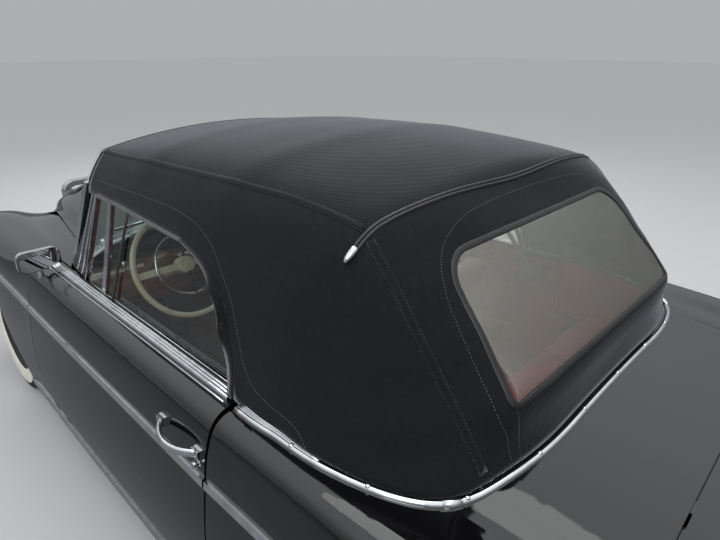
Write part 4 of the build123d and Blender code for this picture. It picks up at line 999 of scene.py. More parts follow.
def stitch(line, sideways=0.0, lift=0.0004, along=None, number=0):
    """Adds one row of thread along a line on the cloth, a short raised bar for each stitch."""
    row, ups = laid(spaced(line, STITCH_PITCH), lift, along)
    row = offset_line(row, ups, sideways)
    headings = unit(np.gradient(row, axis=0))
    points, faces = [], []
    for place, ahead, out, up in zip(row, headings, unit(np.cross(ups, headings)), ups):
        base = len(points)
        for a, w, h in STITCH_POINTS:
            points.append(tuple(place + ahead * a * STITCH_LENGTH / 2 + out * w * STITCH_WIDTH / 2
                                + up * h * STITCH_WIDTH * 0.8))
        faces += [tuple(base + k for k in face) for face in STITCH_FACES]
    stitch_parts.append((points, faces, number))


print("a stitch of", STITCH_LENGTH * 1000, "mm every", STITCH_PITCH * 1000, "mm")

# %% Lapped seams
SEAM_WIDTH = 0.020
SEAM_HEIGHT = 0.0016
BACK_SEAM = [(-0.826, 0.560, 1.400), (-0.898, 0.555, 1.297), (-0.961, 0.555, 1.212), (-1.039, 0.555, 1.113),
             (-1.081, 0.555, 1.059), (-1.145, 0.548, 0.975)]


def lapped_seam(line):
    """A raised lap with a row of thread near each edge."""
    path, ups = laid(spaced(line, STATION))
    for side in (-1, 1):
        stitch(path, side * SEAM_WIDTH * 0.34, lift=SEAM_HEIGHT + 0.0002, number=1)
    half, top = SEAM_WIDTH / 2, SEAM_HEIGHT
    return swept(path, ups, [(half, -0.001), (half * 0.9, top), (-half * 0.9, top), (-half, -0.001)])


roof_seams = [[column[0] for column in run[:side_runs + 1]] for run in (skirt, skirt[::-1])]
seam_parts = [lapped_seam(line) for line in roof_seams + [BACK_SEAM, right_side(BACK_SEAM)]]
mesh_piece("canvas_seams", seam_parts, "body_shell", "top_cloth", canvas)
print("seams", len(seam_parts), "with", len(stitch_parts), "rows of thread")

# %% [markdown]
# Every free edge of the cloth carries a hem with one row of thread, 25 mm in. The hem is a flat
# band that wraps the edge, so the sheet never ends in a bare cut.

# %% Hems
HEM_WIDTH = 0.026
HEM_THICK = 0.0035
hem_profile = [(HEM_WIDTH / 2 + 0.001, -HEM_THICK), (HEM_WIDTH / 2 + 0.001, 0.0008),
               (HEM_WIDTH / 2 - 0.002, 0.0014), (-HEM_WIDTH / 2, 0.0010), (-HEM_WIDTH / 2, -HEM_THICK)]
hem_parts = []
for run, inward in ((skirt, -1), (skirt[::-1], 1)):
    path, ups = laid(spaced([column[-1] for column in run[:first_base + 1]], STATION))
    for _ in range(6):
        ups = unit(eased(ups, 1))
    middle = offset_line(path, ups, inward * HEM_WIDTH / 2)
    hem_parts.append(swept(middle, ups, hem_profile))
    stitch(path, inward * HEM_WIDTH * 0.82, lift=0.0014)
mesh_piece("canvas_hems", hem_parts, "body_shell", "top_cloth", canvas)
print("hems of", len(path), "stations each")

# %% [markdown]
# Along the windscreen the cloth is pulled over the front bow and clamped under it, so its front
# edge is a soft roll, with a rubber lip below that seals on the windscreen frame.

# %% Front roll
ROLL_RADIUS = 0.010
front_edge = skirt[0][::-1] + roof[0][1:-1] + skirt[-1]
path, ups = laid(spaced(front_edge, STATION))
roll_profile = [(ROLL_RADIUS * math.cos(a), ROLL_RADIUS * 0.8 * math.sin(a) - ROLL_RADIUS * 0.55)
                for a in np.linspace(0, 2 * math.pi, 13)[:-1]]
mesh_piece("canvas_front_roll", [swept(path, ups, roll_profile)], "body_shell", "top_cloth", canvas)
stitch(path, 0.018 if path[0][1] > 0 else -0.018)
print("front roll of", len(path), "stations")

# %% [markdown]
# Under the roll the cloth is folded down over the front bow onto the windscreen frame. The fold is
# a bar whose four corners are found at each station: its foot on the frame, its head in the cloth.

# %% Front fold
FOLD_DEPTH = 0.042
FOLD_HALF = 0.618
FOLD_STATIONS = 49
fold_points = []
for y in np.linspace(-FOLD_HALF, FOLD_HALF, FOLD_STATIONS):
    x = header_x(y) - 0.0015
    head = cast(cloth_tree, (x - 0.006, y, 1.8), (0, 0, -1)).z
    below = shell_tree.ray_cast(Vector((x - 0.012, y, 1.20)), Vector((0, 0, 1)))[0]
    foot = min(below.z if below is not None else head, head - 0.010)
    back = cast(cloth_tree, (x - FOLD_DEPTH, y, 1.8), (0, 0, -1)).z - 0.006
    fold_points += [(x - FOLD_DEPTH, y, foot), (x, y, foot), (x, y, head - 0.004),
                    (x - FOLD_DEPTH, y, max(back, foot + 0.002))]
fold_faces = [(a + j, a + (j + 1) % 4, a + 4 + (j + 1) % 4, a + 4 + j)
              for a in range(0, 4 * (FOLD_STATIONS - 1), 4) for j in range(4)]
fold_faces += [(3, 2, 1, 0), tuple(len(fold_points) - 4 + j for j in range(4))]
crisp(mesh_piece("canvas_front_fold", [(fold_points, fold_faces, 0)], "body_shell", "top_cloth", canvas))
print("front fold of", len(fold_faces), "faces")

# %% [markdown]
# ## Bow welt
# The joint between roof and back is covered by a welt: two cords side by side under one strip of
# leathercloth, that ends in a plated bullet on each side. Rays from inside find its line, because
# the cloth has already been stretched and no longer lies where the net began.

# %% Bow welt
WELT_CORD = 0.0095
WELT_REACH = 0.600
BULLET_LENGTH = 0.034
BULLET_RADIUS = 0.0085


def leathercloth(m):
    """Pebbled coating on cotton: black and half dull, with cells a little over two millimetres wide."""
    pebble = texture(m, 2.2, 0, kind="Voronoi")
    return skin(m, {"IOR": 1.5}, (texture(m, 50, 4), (0.3, "#101012"), (0.7, "#1B1B1D")),
                (texture(m, 20, 4), 0.35, 0.55), (pebble, 0.3, 0.4))


binding_cloth = finish("black_leathercloth", leathercloth)

welt_line = []
for angle in np.radians(np.linspace(-76, 76, 77)):
    outward = Vector((0, math.sin(angle), math.cos(angle) * 0.45)).normalized()
    x = BOW_CENTRE_X
    for _ in range(2):
        place = cloth_tree.ray_cast(Vector((x, 0, 1.25)) + outward * 1.2, -outward)[0]
        x = bow_x(min(abs(place.y), SEAM_Y))
    if abs(place.y) < WELT_REACH and place.z > 1.365:
        welt_line.append(place)
path, ups = laid(spaced(welt_line, 0.018))
path = eased(path, 4)
cord = half_round(WELT_CORD, WELT_CORD * 0.62)
welt_profile = [(a + WELT_CORD / 2, h) for a, h in cord[:-1]] + [(a - WELT_CORD / 2, h) for a, h in cord]
welt_profile += [(-WELT_CORD, -0.002), (WELT_CORD, -0.002)]
mesh_piece("bow_welt", [swept(path, ups, welt_profile)], "body_shell", "top_cloth", binding_cloth)
bullet = [(BULLET_RADIUS * r, BULLET_LENGTH * a)
          for r, a in ((0, 1), (0.45, 0.93), (0.8, 0.7), (1, 0.4), (1.08, 0))]
bullet += [(BULLET_RADIUS * 1.08, -0.006), (0.0, -0.006)]
bullets = []
for end, near in ((0, 2), (-1, -3)):
    out = Vector(path[end]) - Vector(path[near])
    bullets.append(turned(bullet, Vector(path[end]) + Vector(ups[end]) * 0.0035, out))
mesh_piece("bow_welt_bullets", bullets, "body_shell", "chrome", plate)
print("welt of", len(path), "stations")

# %% [markdown]
# A black leathercloth binding covers the window's edge and is sewn through with black thread.

# %% Window binding and its stitches
BINDING_HALF = 0.0085
path, ups = laid(window_line(0.004), along=window_out)
for _ in range(3):
    ups = unit(np.roll(ups, 1, 0) + 2 * ups + np.roll(ups, -1, 0))
binding_left = [(BINDING_HALF, -0.0030), (BINDING_HALF, 0.0010), (BINDING_HALF - 0.002, 0.0024)]
binding_profile = binding_left + [(-a, h) for a, h in reversed(binding_left)]
mesh_piece("rear_window_binding", [swept(path, ups, binding_profile, loop=True)], "body_shell", "top_cloth",
           binding_cloth)
stitch(window_line(0.004), lift=0.0027, along=window_out, number=1)
print("binding of", len(path), "stations")

# %% [markdown]
# Round the foot of the top runs a plated half-round bead, fixed with domed screws about 200 mm
# apart, with a sleeve over each joint. It stands off the cloth's own lowest line and follows the
# deck's height. Behind each door three thin ribs lie inside it and run out to nothing.

# %% Base bead
BEAD_OUT = 0.0135
BEAD_WIDTH = 0.0165
BEAD_HEIGHT = 0.010
STUD_SPACING = 0.205
SLEEVE_AT = 0.235
left_base = [p for p in lower[first_base:] if p[0] < DOOR_REAR_X - 0.001]
ring = eased(spaced(left_base + right_side(left_base[:-1])[::-1], STATION), 3)
outward = unit(np.cross(np.array([0, 0, 1.0]), unit(np.gradient(ring, axis=0))))
if outward[0][1] < 0:
    outward = -outward
bead_line = ring + outward * BEAD_OUT
bead_line[:, 2] = eased([deck_height(x, y) for x, y, _ in bead_line], 2)
bead_parts = [swept(bead_line, (0, 0, 1), half_round(BEAD_WIDTH, BEAD_HEIGHT, 0.004))]
stud = [(0.0, 0.0034), (0.003, 0.0030), (0.0052, 0.0018), (0.0062, 0.0), (0.0062, -0.002), (0.0, -0.002)]
for x, y, z in spaced(bead_line, STUD_SPACING)[1:-1]:
    bead_parts.append(turned(stud, (x, y, z + BEAD_HEIGHT - 0.0006), (0, 0, 1), steps=12))
for k in (int(len(bead_line) * SLEEVE_AT), int(len(bead_line) * (1 - SLEEVE_AT))):
    sleeve = half_round(BEAD_WIDTH + 0.004, BEAD_HEIGHT + 0.002, 0.002)
    bead_parts.append(swept(bead_line[k - 1:k + 2], (0, 0, 1), sleeve))
base_bead = mesh_piece("base_bead", bead_parts, "body_shell", "chrome", plate)
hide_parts("top_bead")
print("bead of", len(bead_line), "stations and", len(bead_parts) - 3, "screws")

# %% Ribbed finishers behind the doors
FINISHER_LENGTH = 0.30
RIB_PITCH = 0.0062
RIBS = 3
count = int(FINISHER_LENGTH / STATION)
taper = np.linspace(1, 0.15, count)[:, None]
finisher_parts = []
for run, away in ((bead_line, outward), (bead_line[::-1], outward[::-1])):
    for rib in range(RIBS):
        inward = BEAD_WIDTH * 0.2 + RIB_PITCH * (rib + 0.4) * taper
        place = run[:count] - away[:count] * inward + np.array([0, 0, 0.006])
        finisher_parts.append(swept(place, (0, 0, 1), half_round(0.007, 0.005, 0.006)))
mesh_piece("base_finishers", finisher_parts, "body_shell", "chrome", plate)
print("finishers", len(finisher_parts), "ribs")

# %% [markdown]
# The last rows of thread follow the window's panel and each side window's edge, with a short one
# at each rear corner. All rows together are one piece, because thread is one material in two dyes.

# %% Rows of thread on the back and sides
WINDOW_PANEL = [(-1.165, 0.475, 0.975), (-1.130, 0.483, 1.038), (-1.010, 0.497, 1.226),
                (-0.935, 0.473, 1.345), (-0.895, 0.400, 1.380), (-0.868, 0.300, 1.400), (-0.860, 0.0, 1.412)]
stitch(eased(resample(WINDOW_PANEL + right_side(WINDOW_PANEL[:-1])[::-1], 120), 40))
SIDE_STITCH = [(0.430, 0.621, 1.318), (-0.100, 0.620, 1.328), (-0.250, 0.630, 1.318), (-0.356, 0.647, 1.283),
               (-0.476, 0.688, 1.182), (-0.564, 0.728, 1.041), (-0.600, 0.735, 1.010), (-0.680, 0.740, 0.995),
               (-0.780, 0.735, 0.990), (-0.800, 0.735, 0.957)]
CORNER_STITCH = [(-1.150, 0.462, 1.085), (-1.168, 0.445, 0.966)]
for same_side in (list, right_side):
    stitch(eased(resample(same_side(SIDE_STITCH), 120), 12))
    stitch(same_side(CORNER_STITCH))
thread_rows = mesh_piece("canvas_stitches", stitch_parts, "body_shell", "top_cloth", thread, black_thread)
print("stitched", len(thread_rows.data.polygons), "thread faces")

# %% [markdown]
# ## Leather, rubber, carpet and wood
# Seats and door linings are red hide, dyed through and lightly lacquered: its grain is a net of
# creases about two millimetres across. Tyres are black rubber with a white band vulcanised on.
# The facia is walnut veneer under varnish, whose figure runs across the car.

# %% Hide, carpet and rubber
def red_hide(m):
    """Dyed leather: red, softly glossy, with a net of creases and paler where it is sat on."""
    crease = texture(m, 3.0, 0, kind="Voronoi", feature="DISTANCE_TO_EDGE")
    wear = texture(m, 130, 5)
    return skin(m, {"IOR": 1.48, "Coat Weight": 0.15, "Coat Roughness": 0.35},
                (wear, (0.3, "#8C0F18"), (0.7, "#B01C26")), (wear, 0.38, 0.55), (crease, 0.5, 0.5))


def loop_carpet(m):
    """Woven wool loops: dark red and quite matt, deep between the tufts, where the colour is painted darker
    as shade.
    """
    tufts = texture(m, 3, 4)
    # one pattern sets the colour and the tufts' height: a random tone, and painted shade where the tufts are
    # low
    return skin(m, {"Roughness": 1.0, "Sheen Weight": 0.4}, (tufts, (0.3, "#4A0C10"), (0.7, "#7A1A20")),
                relief=(tufts, 3.0, 0.9))


def vulcanised(ends, dark, light, bloom_mm, blur, pore_mm):
    """Moulded rubber: dull, with a cloudy bloom; ends are where the two tones lie in it."""
    def rubbery(m):
        bloom = texture(m, bloom_mm, 5)
        return skin(m, {"IOR": 1.52}, (bloom, (ends[0], dark), (ends[1], light)), (bloom, *blur),
                    (texture(m, pore_mm, 3), 0.1, 0.3))
    return rubbery


hide = finish("red_dyed_hide", red_hide)
carpet = finish("red_loop_carpet", loop_carpet)
rubber = finish("black_rubber", vulcanised((0.3, 0.7), "#151515", "#242424", 40, (0.6, 0.85), 2))
whitewall = finish("white_rubber", vulcanised((0.25, 0.75), "#D2CFC4", "#ECEAE2", 60, (0.5, 0.7), 3))
print("made", [m.name for m in (hide, carpet, rubber, whitewall)])


# %% Wood, plastic, lenses and cards
def walnut(m):
    """Veneer under varnish: brown figure across the car, seen through a clear gloss."""
    figure, pores = texture(m, 22, 6, stretch=(1, 9, 1)), texture(m, 1.6, 2, stretch=(1, 30, 1))
    return skin(m, {"Roughness": 0.35, "Coat Weight": 1.0, "Coat Roughness": 0.06},
                (figure, (0.3, "#3A1D0E"), (0.5, "#6B3A1C"), (0.7, "#8A5228")), relief=(pores, 0.1, 0.4))


def ivory(m):
    """Moulded plastic: creamy, glossy, and lit a little from within."""
    cloud = texture(m, 50, 4)
    return skin(m, {"IOR": 1.5, "Subsurface Weight": 0.1}, (cloud, (0.3, "#D8CDAE"), (0.7, "#E8E0C8")),
                (cloud, 0.18, 0.32))


def moulded_lens(dark, light, flute_mm):
    """Pressed glass or acrylic: glossy, with upright flutes, along which stripes of light and shade are
    painted into the colour.
    """
    def fluted(m):
        flutes = texture(m, flute_mm * BANDS_IN_SCALE, 2.0, {"Distortion": 0.0}, kind="Wave",
                         bands_direction="Y", wave_profile="SIN")
        # the colour runs dark and light with the flutes: painted light and painted shade for the light they
        # break
        return skin(m, {"IOR": 1.5, "Coat Weight": 1.0, "Coat Roughness": 0.03},
                    (flutes, (0.2, dark), (0.8, light)), (flutes, 0.08, 0.2), (flutes, 0.8, 0.6))
    return fluted


def dial_card(m):
    """Printed card behind an instrument's glass: matt brown black."""
    speck = texture(m, 2, 3)
    return skin(m, {}, (speck, (0.3, "#17130F"), (0.7, "#221D18")), (speck, 0.4, 0.6))


def number_plate(m):
    """Enamelled sheet: off-white, half glossy and a little dirty."""
    speck = texture(m, 30, 4)
    return skin(m, {}, (speck, (0.3, "#D0CFC9"), (0.7, "#DFDED8")), (speck, 0.3, 0.45))


veneer = finish("varnished_walnut", walnut)
ivory_plastic = finish("ivory_bakelite", ivory)
clear_lens = finish("fluted_lamp_glass", moulded_lens("#AEB6BC", "#DDE3E8", 9))
red_lens = finish("fluted_red_acrylic", moulded_lens("#7A0B0D", "#C0181A", 6))
amber_lens = finish("fluted_amber_acrylic", moulded_lens("#B35A0A", "#E58A1E", 6))
dial_black = finish("dial_card", dial_card)
plate_white = finish("blank_plate_enamel", number_plate)
print("made", [m.name for m in (veneer, ivory_plastic, clear_lens, red_lens, amber_lens, dial_black,
                                plate_white)])


# %% [markdown]
# ## Finishes on the frame's own nodes
# A pressed panel is enamelled outside and lined or stove-blacked inside. Each node keeps its mesh,
# and a rule on a face's place and direction picks which of the node's finishes it takes.

# %% Rules for two-sided panels
CABIN_HALF = 0.742
CABIN_FRONT_X = 0.63
LINING_TOP_Z = 0.94
SILL_INNER = 0.70
SILL_OUTER = 0.815
FLOOR_Z = 0.285
TOE_BOARD_X = 0.903


def dress(name, *choices, rule=None):
    """Gives a node its finishes; rule takes a face's middle and direction and returns a number."""
    mesh = nodes[name].data
    mesh.materials.clear()
    for material in choices:
        mesh.materials.append(material)
    numbers = [rule(face.center, face.normal) if rule else 0 for face in mesh.polygons]
    mesh.polygons.foreach_set("material_index", numbers)


def outside_cabin(p, n):
    """Lined where a wall faces the cabin, enamelled elsewhere."""
    inside = abs(p.y) < CABIN_HALF and p.x < CABIN_FRONT_X and p.z < LINING_TOP_Z
    return 1 if inside and n.y * p.y < -0.3 * abs(p.y) else 0


def floor_rule(p, n):
    """Enamel on the sills' outer sides, carpet on the cabin floor, stove black below."""
    sill_side = abs(p.y) > SILL_INNER and n.z < 0.5 and p.z > 0.2 and abs(n.y) > 0.5
    if abs(p.y) > SILL_OUTER or sill_side:
        return 2
    return 1 if n.z > -0.3 and p.z > FLOOR_Z and p.x < TOE_BOARD_X and abs(p.y) < SILL_INNER else 0


def bonnet_rule(p, n):
    """Stove black under the nose, where a face looks down."""
    return 1 if n.z < -0.25 and p.z < 1.0 and abs(p.y) < 0.80 else 0


def scuttle_rule(p, n):
    """Carpet on the firewall's cabin side, stove black on its engine side."""
    if n.x < -0.5 and p.z < 0.88 and abs(p.y) < 0.69:
        return 1
    return 2 if n.x > 0.7 and p.z < 0.9 else 0


for name in ("front_wings", "front_apron", "bonnet"):
    dress(name, enamel, underbody, rule=bonnet_rule)
dress("boot_lid", enamel, underbody, rule=lambda p, n: 1 if n.z < -0.3 else 0)
dress("scuttle", enamel, carpet, underbody, rule=scuttle_rule)
dress("quarter_panels", enamel, hide, underbody,
      rule=lambda p, n: 1 if outside_cabin(p, n) and p.x > -1.02 else 2 if n.z < -0.3 and p.z < 0.72 else 0)
dress("boot_tub", enamel, carpet, underbody, rule=lambda p, n: (
    2 if n.z < -0.5 and p.z < 0.6 else
    1 if n.z > 0.5 and 0.36 < p.z < 0.6 and abs(p.y) < 0.52 and p.x > -2.16 else 0))
dress("floor_pan", underbody, carpet, enamel, rule=floor_rule)
for side, _ in SIDES:
    dress("door_" + side, enamel, hide, rule=outside_cabin)
print("panels dressed")

# %% [markdown]
# Lamps, wheels and the steering wheel are each one node of two or three finishes. Their rules
# measure a distance from an axis: the lens inside a lamp's rim, the cap in the middle of a wheel,
# the horn ring in front of the steering wheel's rim.

# %% Rules for round pieces
LAMP_AT = (0.612, 0.706)
LENS_RADIUS = 0.0785
WHEEL_Z = 0.326
CAP_RADIUS = 0.1135
CAP_OUT = 0.030
HUB = Vector((0.350, 0.370, 0.950))
COLUMN = Vector((math.cos(math.radians(28)), 0, -math.sin(math.radians(28))))
# columns: name, x and y of the wheel's middle, outward sign
WHEELS = [(f"{end}_{side}", x, sign * y, sign)
          for end, x, y in (("front", 1.545, 0.715), ("rear", -1.155, 0.735)) for side, sign in SIDES]


def lamp_rule(p, n):
    """Glass inside the lamp's plated rim."""
    return 1 if math.hypot(abs(p.y) - LAMP_AT[0], p.z - LAMP_AT[1]) < LENS_RADIUS and p.x > 2.18 else 0


def ring_and_stays(p, n):
    """Chrome on the horn ring and its stays, ivory on the rim, spokes and hub."""
    off = p - HUB
    along = off.dot(COLUMN)
    return 1 if along < -0.0005 and 0.030 < (off - COLUMN * along).length < 0.130 else 0


def cap_rule(x, y, sign):
    """A rule that plates one wheel's cap and leaves its disc enamelled."""
    def rule(p, n):
        near = math.hypot(p.x - x, p.z - WHEEL_Z) < CAP_RADIUS
        return 1 if near and (p.y - y) * sign > CAP_OUT else 0
    return rule


dress("headlamps", plate, clear_lens, rule=lamp_rule)
dress("tail_lamps", red_lens, plate, amber_lens,
      rule=lambda p, n: 1 if p.x > -2.200 and abs(n.x) < 0.8 else 2 if p.z < 0.605 else 0)
dress("steering_wheel", ivory_plastic, plate, rule=ring_and_stays)
for name, *wheel in WHEELS:
    dress("wheel_" + name, enamel, plate, rule=cap_rule(*wheel))
WHOLE = {plate: ("windscreen_frame", "side_trim", "bumpers", "grille", "door_chrome_left",
                 "door_chrome_right"),
         safety_glass: ("windscreen_glass", "door_glass_left", "door_glass_right"),
         iron: ("engine", "rear_axle", "knuckle_left", "knuckle_right"),
         steel: ("top_frame", "front_subframe", "exhaust"),
         underbody: ("fuel_tank",), veneer: ("dashboard",), ivory_plastic: ("steering_column",)}
for material, names in WHOLE.items():
    for name in names:
        dress(name, material)

# %% [markdown]
# ## Whitewall tyres
# A crossply tyre of this time is tall and round-shouldered, with zigzag ribs and a wide white
# band. The carcass is one profile turned about the axle, with its band as a second finish, and
# the ribs stand between grooves cut into that profile, shifted to one side and the other in turn.

# %% Tyres
# columns: half width, radius, in metres, from the bead over the shoulder
TYRE_PROFILE = [(0.0562, 0.1635), (0.0562, 0.1785), (0.0645, 0.1800), (0.0730, 0.1900), (0.0760, 0.1935),
                (0.0775, 0.1960), (0.0832, 0.2200), (0.0849, 0.2480), (0.0845, 0.2680), (0.0852, 0.2700),
                (0.0846, 0.2735), (0.0790, 0.2980), (0.0715, 0.3100), (0.0612, 0.3170)]
TREAD_HALF, TREAD_EDGE_RADIUS = TYRE_PROFILE[-1]
WHITE_BAND = (0.1950, 0.2710)
GROOVES = [0.036, 0.018, 0.0, -0.018, -0.036]
GROOVE_HALF = 0.0025
GROOVE_DEPTH = 0.006
ZIGZAG = 0.0035
TYRE_RADIUS = 0.326
STEPS = 96


def tread_radius(y):
    """The tread's radius, a little crowned towards the middle."""
    return TREAD_EDGE_RADIUS + (TYRE_RADIUS - TREAD_EDGE_RADIUS) * (1 - (y / TREAD_HALF) ** 2)


def tyre_section():
    """The tyre's closed section of (across, radius), from the left bead over the tread and back."""
    tread = []
    for g in GROOVES:
        top, foot = tread_radius(g), tread_radius(g) - GROOVE_DEPTH
        tread += [(g + GROOVE_HALF, top), (g + GROOVE_HALF * 0.7, foot), (g - GROOVE_HALF * 0.7, foot),
                  (g - GROOVE_HALF, top)]
    left_bead, right_bead = TYRE_PROFILE[0], (-TYRE_PROFILE[0][0], TYRE_PROFILE[0][1])
    return TYRE_PROFILE + tread + [(-y, r) for y, r in reversed(TYRE_PROFILE)] + [right_bead, left_bead]


section = tyre_section()
size = len(section)
points, faces = [], {0: [], 1: []}
for k in range(STEPS):
    angle = 2 * math.pi * k / STEPS
    zig = ZIGZAG if k % 2 else -ZIGZAG
    for y, r in section:
        shift = zig if abs(y) < 0.045 and r > 0.3 else 0
        points.append((r * math.cos(angle), y + shift, r * math.sin(angle)))
    here, there = k * size, (k + 1) % STEPS * size
    for i, ((y0, r0), (y1, r1)) in enumerate(zip(section, section[1:])):
        white = WHITE_BAND[0] < (r0 + r1) / 2 < WHITE_BAND[1] and abs(y0 + y1) / 2 > 0.075
        faces[int(white)].append((here + i, here + i + 1, there + i + 1, there + i))
for name, x, y, _ in WHEELS:
    placed = [(px + x, py + y, pz + WHEEL_Z) for px, py, pz in points]
    parts = [(placed, faces[kind], kind) for kind in (0, 1)]
    tyre = mesh_piece("whitewall_tyre_" + name, parts, "wheel_" + name, "tyre", rubber, whitewall)
    crisp(tyre)
    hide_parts("tyre_" + name)
print("tyre", len(tyre.data.polygons), "faces each")


# %% [markdown]
# ## Seats
# Each seat is springs under horsehair under hide, sewn in flutes that run fore and aft on the
# cushion and up the backrest. The pad starts from the frame's plain size, is blown up a little as
# cloth so that its faces crown and its corners stay pulled in, and the flutes are pressed into it
# afterwards, because they are narrower than the cloth's own mesh.

# %% Swelling and flutes
FLUTE_PITCH = 0.055
FLUTE_DEPTH = 0.0065
FLUTED_SPAN = 0.85
PAD_FRAMES = 14
PAD_PRESSURE = 3.5
PAD_CAP = 0.014


def swollen(piece):
    """Blows a pad up as cloth for a few frames and keeps the shape it has then."""
    swell = piece.modifiers.new("swell", "CLOTH")
    swell.settings.use_pressure = True
    swell.settings.uniform_pressure_force = PAD_PRESSURE
    swell.settings.effector_weights.gravity = 0
    swell.settings.tension_stiffness = 20
    swell.settings.bending_stiffness = 5
    swell.point_cache.frame_start = 1
    swell.point_cache.frame_end = PAD_FRAMES
    for frame_number in range(1, PAD_FRAMES + 1):
        scene.frame_set(frame_number)
    apply_modifiers(piece)


def fluted(piece, rest, low, high, axis):
    """Presses flutes into the face that looks along an axis, and holds the swelling within its cap."""
    middle, half = (low + high) / 2, (high - low) / 2
    other = 2 if axis == 0 else 0
    for vert, start in zip(piece.data.vertices, rest):
        move = vert.co - start
        if move.length > PAD_CAP:
            move = move * (PAD_CAP / move.length)
        place = start + move
        rel = [(start[k] - middle[k]) / half[k] for k in range(3)]
        span = max(0.0, min(1.0, (FLUTED_SPAN - abs(rel[1])) / 0.06))
        span *= max(0.0, min(1.0, (0.93 - abs(rel[other])) / 0.08))
        if rel[axis] > 0.72 and span > 0:
            wave = abs(math.sin(math.pi * (start.y - middle.y) / FLUTE_PITCH))
            place[axis] -= FLUTE_DEPTH * span * (1 - wave) ** 2 * 2.2 - 0.002 * span
        vert.co = place


print("flutes every", FLUTE_PITCH * 1000, "mm")

# %% [markdown]
# One function makes any pad: a block, an even mesh over it, the swelling, the flutes, the lean of
# a backrest, and one round of subdivision that smooths what the even mesh left stepped.

# %% One pad
PAD_INSET = 0.008
PAD_VOXEL = 0.013


def pad(name, low, high, bevel, axis, lean=0.0, pivot=None):
    """One padded cushion between two corners, fluted on the face that looks along an axis."""
    low, high = Vector(low) + Vector([PAD_INSET] * 3), Vector(high) - Vector([PAD_INSET] * 3)
    piece = mesh_piece(name, [block(low, high, bevel, segments=4)], "body_shell", "red_leather", hide)
    remesh = piece.modifiers.new("even_mesh", "REMESH")
    remesh.mode = "VOXEL"
    remesh.voxel_size = PAD_VOXEL
    apply_modifiers(piece)
    rest = [v.co.copy() for v in piece.data.vertices]
    swollen(piece)
    scene.frame_set(1)
    fluted(piece, rest, low, high, axis)
    if lean:
        turn = Matrix.Rotation(math.radians(-lean), 4, "Y")
        piece.data.transform(Matrix.Translation(pivot) @ turn @ Matrix.Translation(-pivot))
    subdivide = piece.modifiers.new("smooth", "SUBSURF")
    subdivide.levels = subdivide.render_levels = 1
    apply_modifiers(piece)
    for face in piece.data.polygons:
        face.use_smooth = True
    return piece


print("pads are set in by", PAD_INSET * 1000, "mm before they swell")

# %% [markdown]
# Two front seats and one rear bench, each with a cushion and a leaning back.

# %% Seat pads
# columns: name, x0, x1, y0, y1, cushion z, back top z, back lean in degrees, cushion base z
SEATS = [
    ("front_seat_left", -0.300, 0.190, 0.130, 0.640, 0.500, 0.928, 12, 0.33),
    ("front_seat_right", -0.300, 0.190, -0.640, -0.130, 0.500, 0.928, 12, 0.33),
    ("rear_bench", -0.880, -0.560, -0.550, 0.550, 0.480, 0.870, 10, 0.44),
]
for name, x0, x1, y0, y1, cushion_z, top_z, lean, base_z in SEATS:
    pad(name + "_cushion", (x0, y0, base_z), (x1, y1, cushion_z), 0.034, 2)
    pad(name + "_back", (x0 - 0.058, y0, cushion_z - 0.05), (x0 + 0.058, y1, top_z), 0.040, 0, lean,
            Vector((x0, 0, cushion_z)))
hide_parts("front_seats")
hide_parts("rear_seat")

# %% [markdown]
# Under each cushion stands a carpeted plinth, set in a little. A piping cord of the same hide
# runs round the cushion's upper front edge, where the top and side panels are sewn together.

# %% Plinths and piping
PIPING_RADIUS = 0.004
cord_round = [(PIPING_RADIUS * math.cos(a), PIPING_RADIUS * math.sin(a))
              for a in np.linspace(0, 2 * math.pi, 9)[:-1]]
plinths = [block((x0 + 0.05, y0 + 0.05, 0.290), (x1 - 0.07, y1 - 0.05, 0.345), 0.006)
           for _, x0, x1, y0, y1, *_ in SEATS[:2]]
plinths.append(block((-0.84, -0.50, 0.431), (-0.60, 0.50, 0.452), 0.004))
mesh_piece("seat_plinths", plinths, "body_shell", "red_leather", carpet)
piping = []
for _, x0, x1, y0, y1, cushion_z, *_ in SEATS:
    z = cushion_z - 0.014
    bar = [(x0 + 0.03, y0 + 0.012, z), (x1 - 0.02, y0 + 0.012, z), (x1 - 0.012, y0 + 0.03, z),
           (x1 - 0.012, y1 - 0.03, z), (x1 - 0.02, y1 - 0.012, z), (x0 + 0.03, y1 - 0.012, z)]
    piping.append(swept(eased(resample(bar, 60), 4), (0, 0, 1), cord_round))
mesh_piece("seat_piping", piping, "body_shell", "red_leather", hide)
print("plinths", len(plinths), "piping cords", len(piping))

# %% [markdown]
# ## Belt mouldings and seals
# Along the top of each door lies a plated moulding with three ridges, then a black rubber strip
# that wipes the glass, then a thin plated line at the glass itself. A seal of the same rubber
# stands behind the quarter light's post. All of them are profiles swept along straight lines.

# %% Door mouldings and seals
BELT_TOP = 0.957
BELT_ENDS = (-0.524, 0.694)
# columns: distance from the middle, width, height, all in metres
BELT_RIDGES = [(0.7265, 0.0085, 0.0032), (0.7365, 0.0090, 0.0042), (0.7465, 0.0085, 0.0032)]
DRIP_RIDGE = (0.7585, 0.9440)
GLASS_LINE = (0.7135, 0.9555)
WIPING_SEAL = (0.7172, 0.9430)
GLASS_LEAN = 0.225
# x and height of the quarter light post's foot and head
QUARTER_POST = [(0.2130, 0.955), (0.1350, 1.265)]


def glass_y(z):
    """Distance of the side glass from the middle at a height."""
    return 0.712 - GLASS_LEAN * (z - 0.95)


def quarter_post_x(z):
    """How far forward the quarter light's post stands at a height."""
    (x0, z0), (x1, z1) = QUARTER_POST
    return x0 + (x1 - x0) * (z - z0) / (z1 - z0)


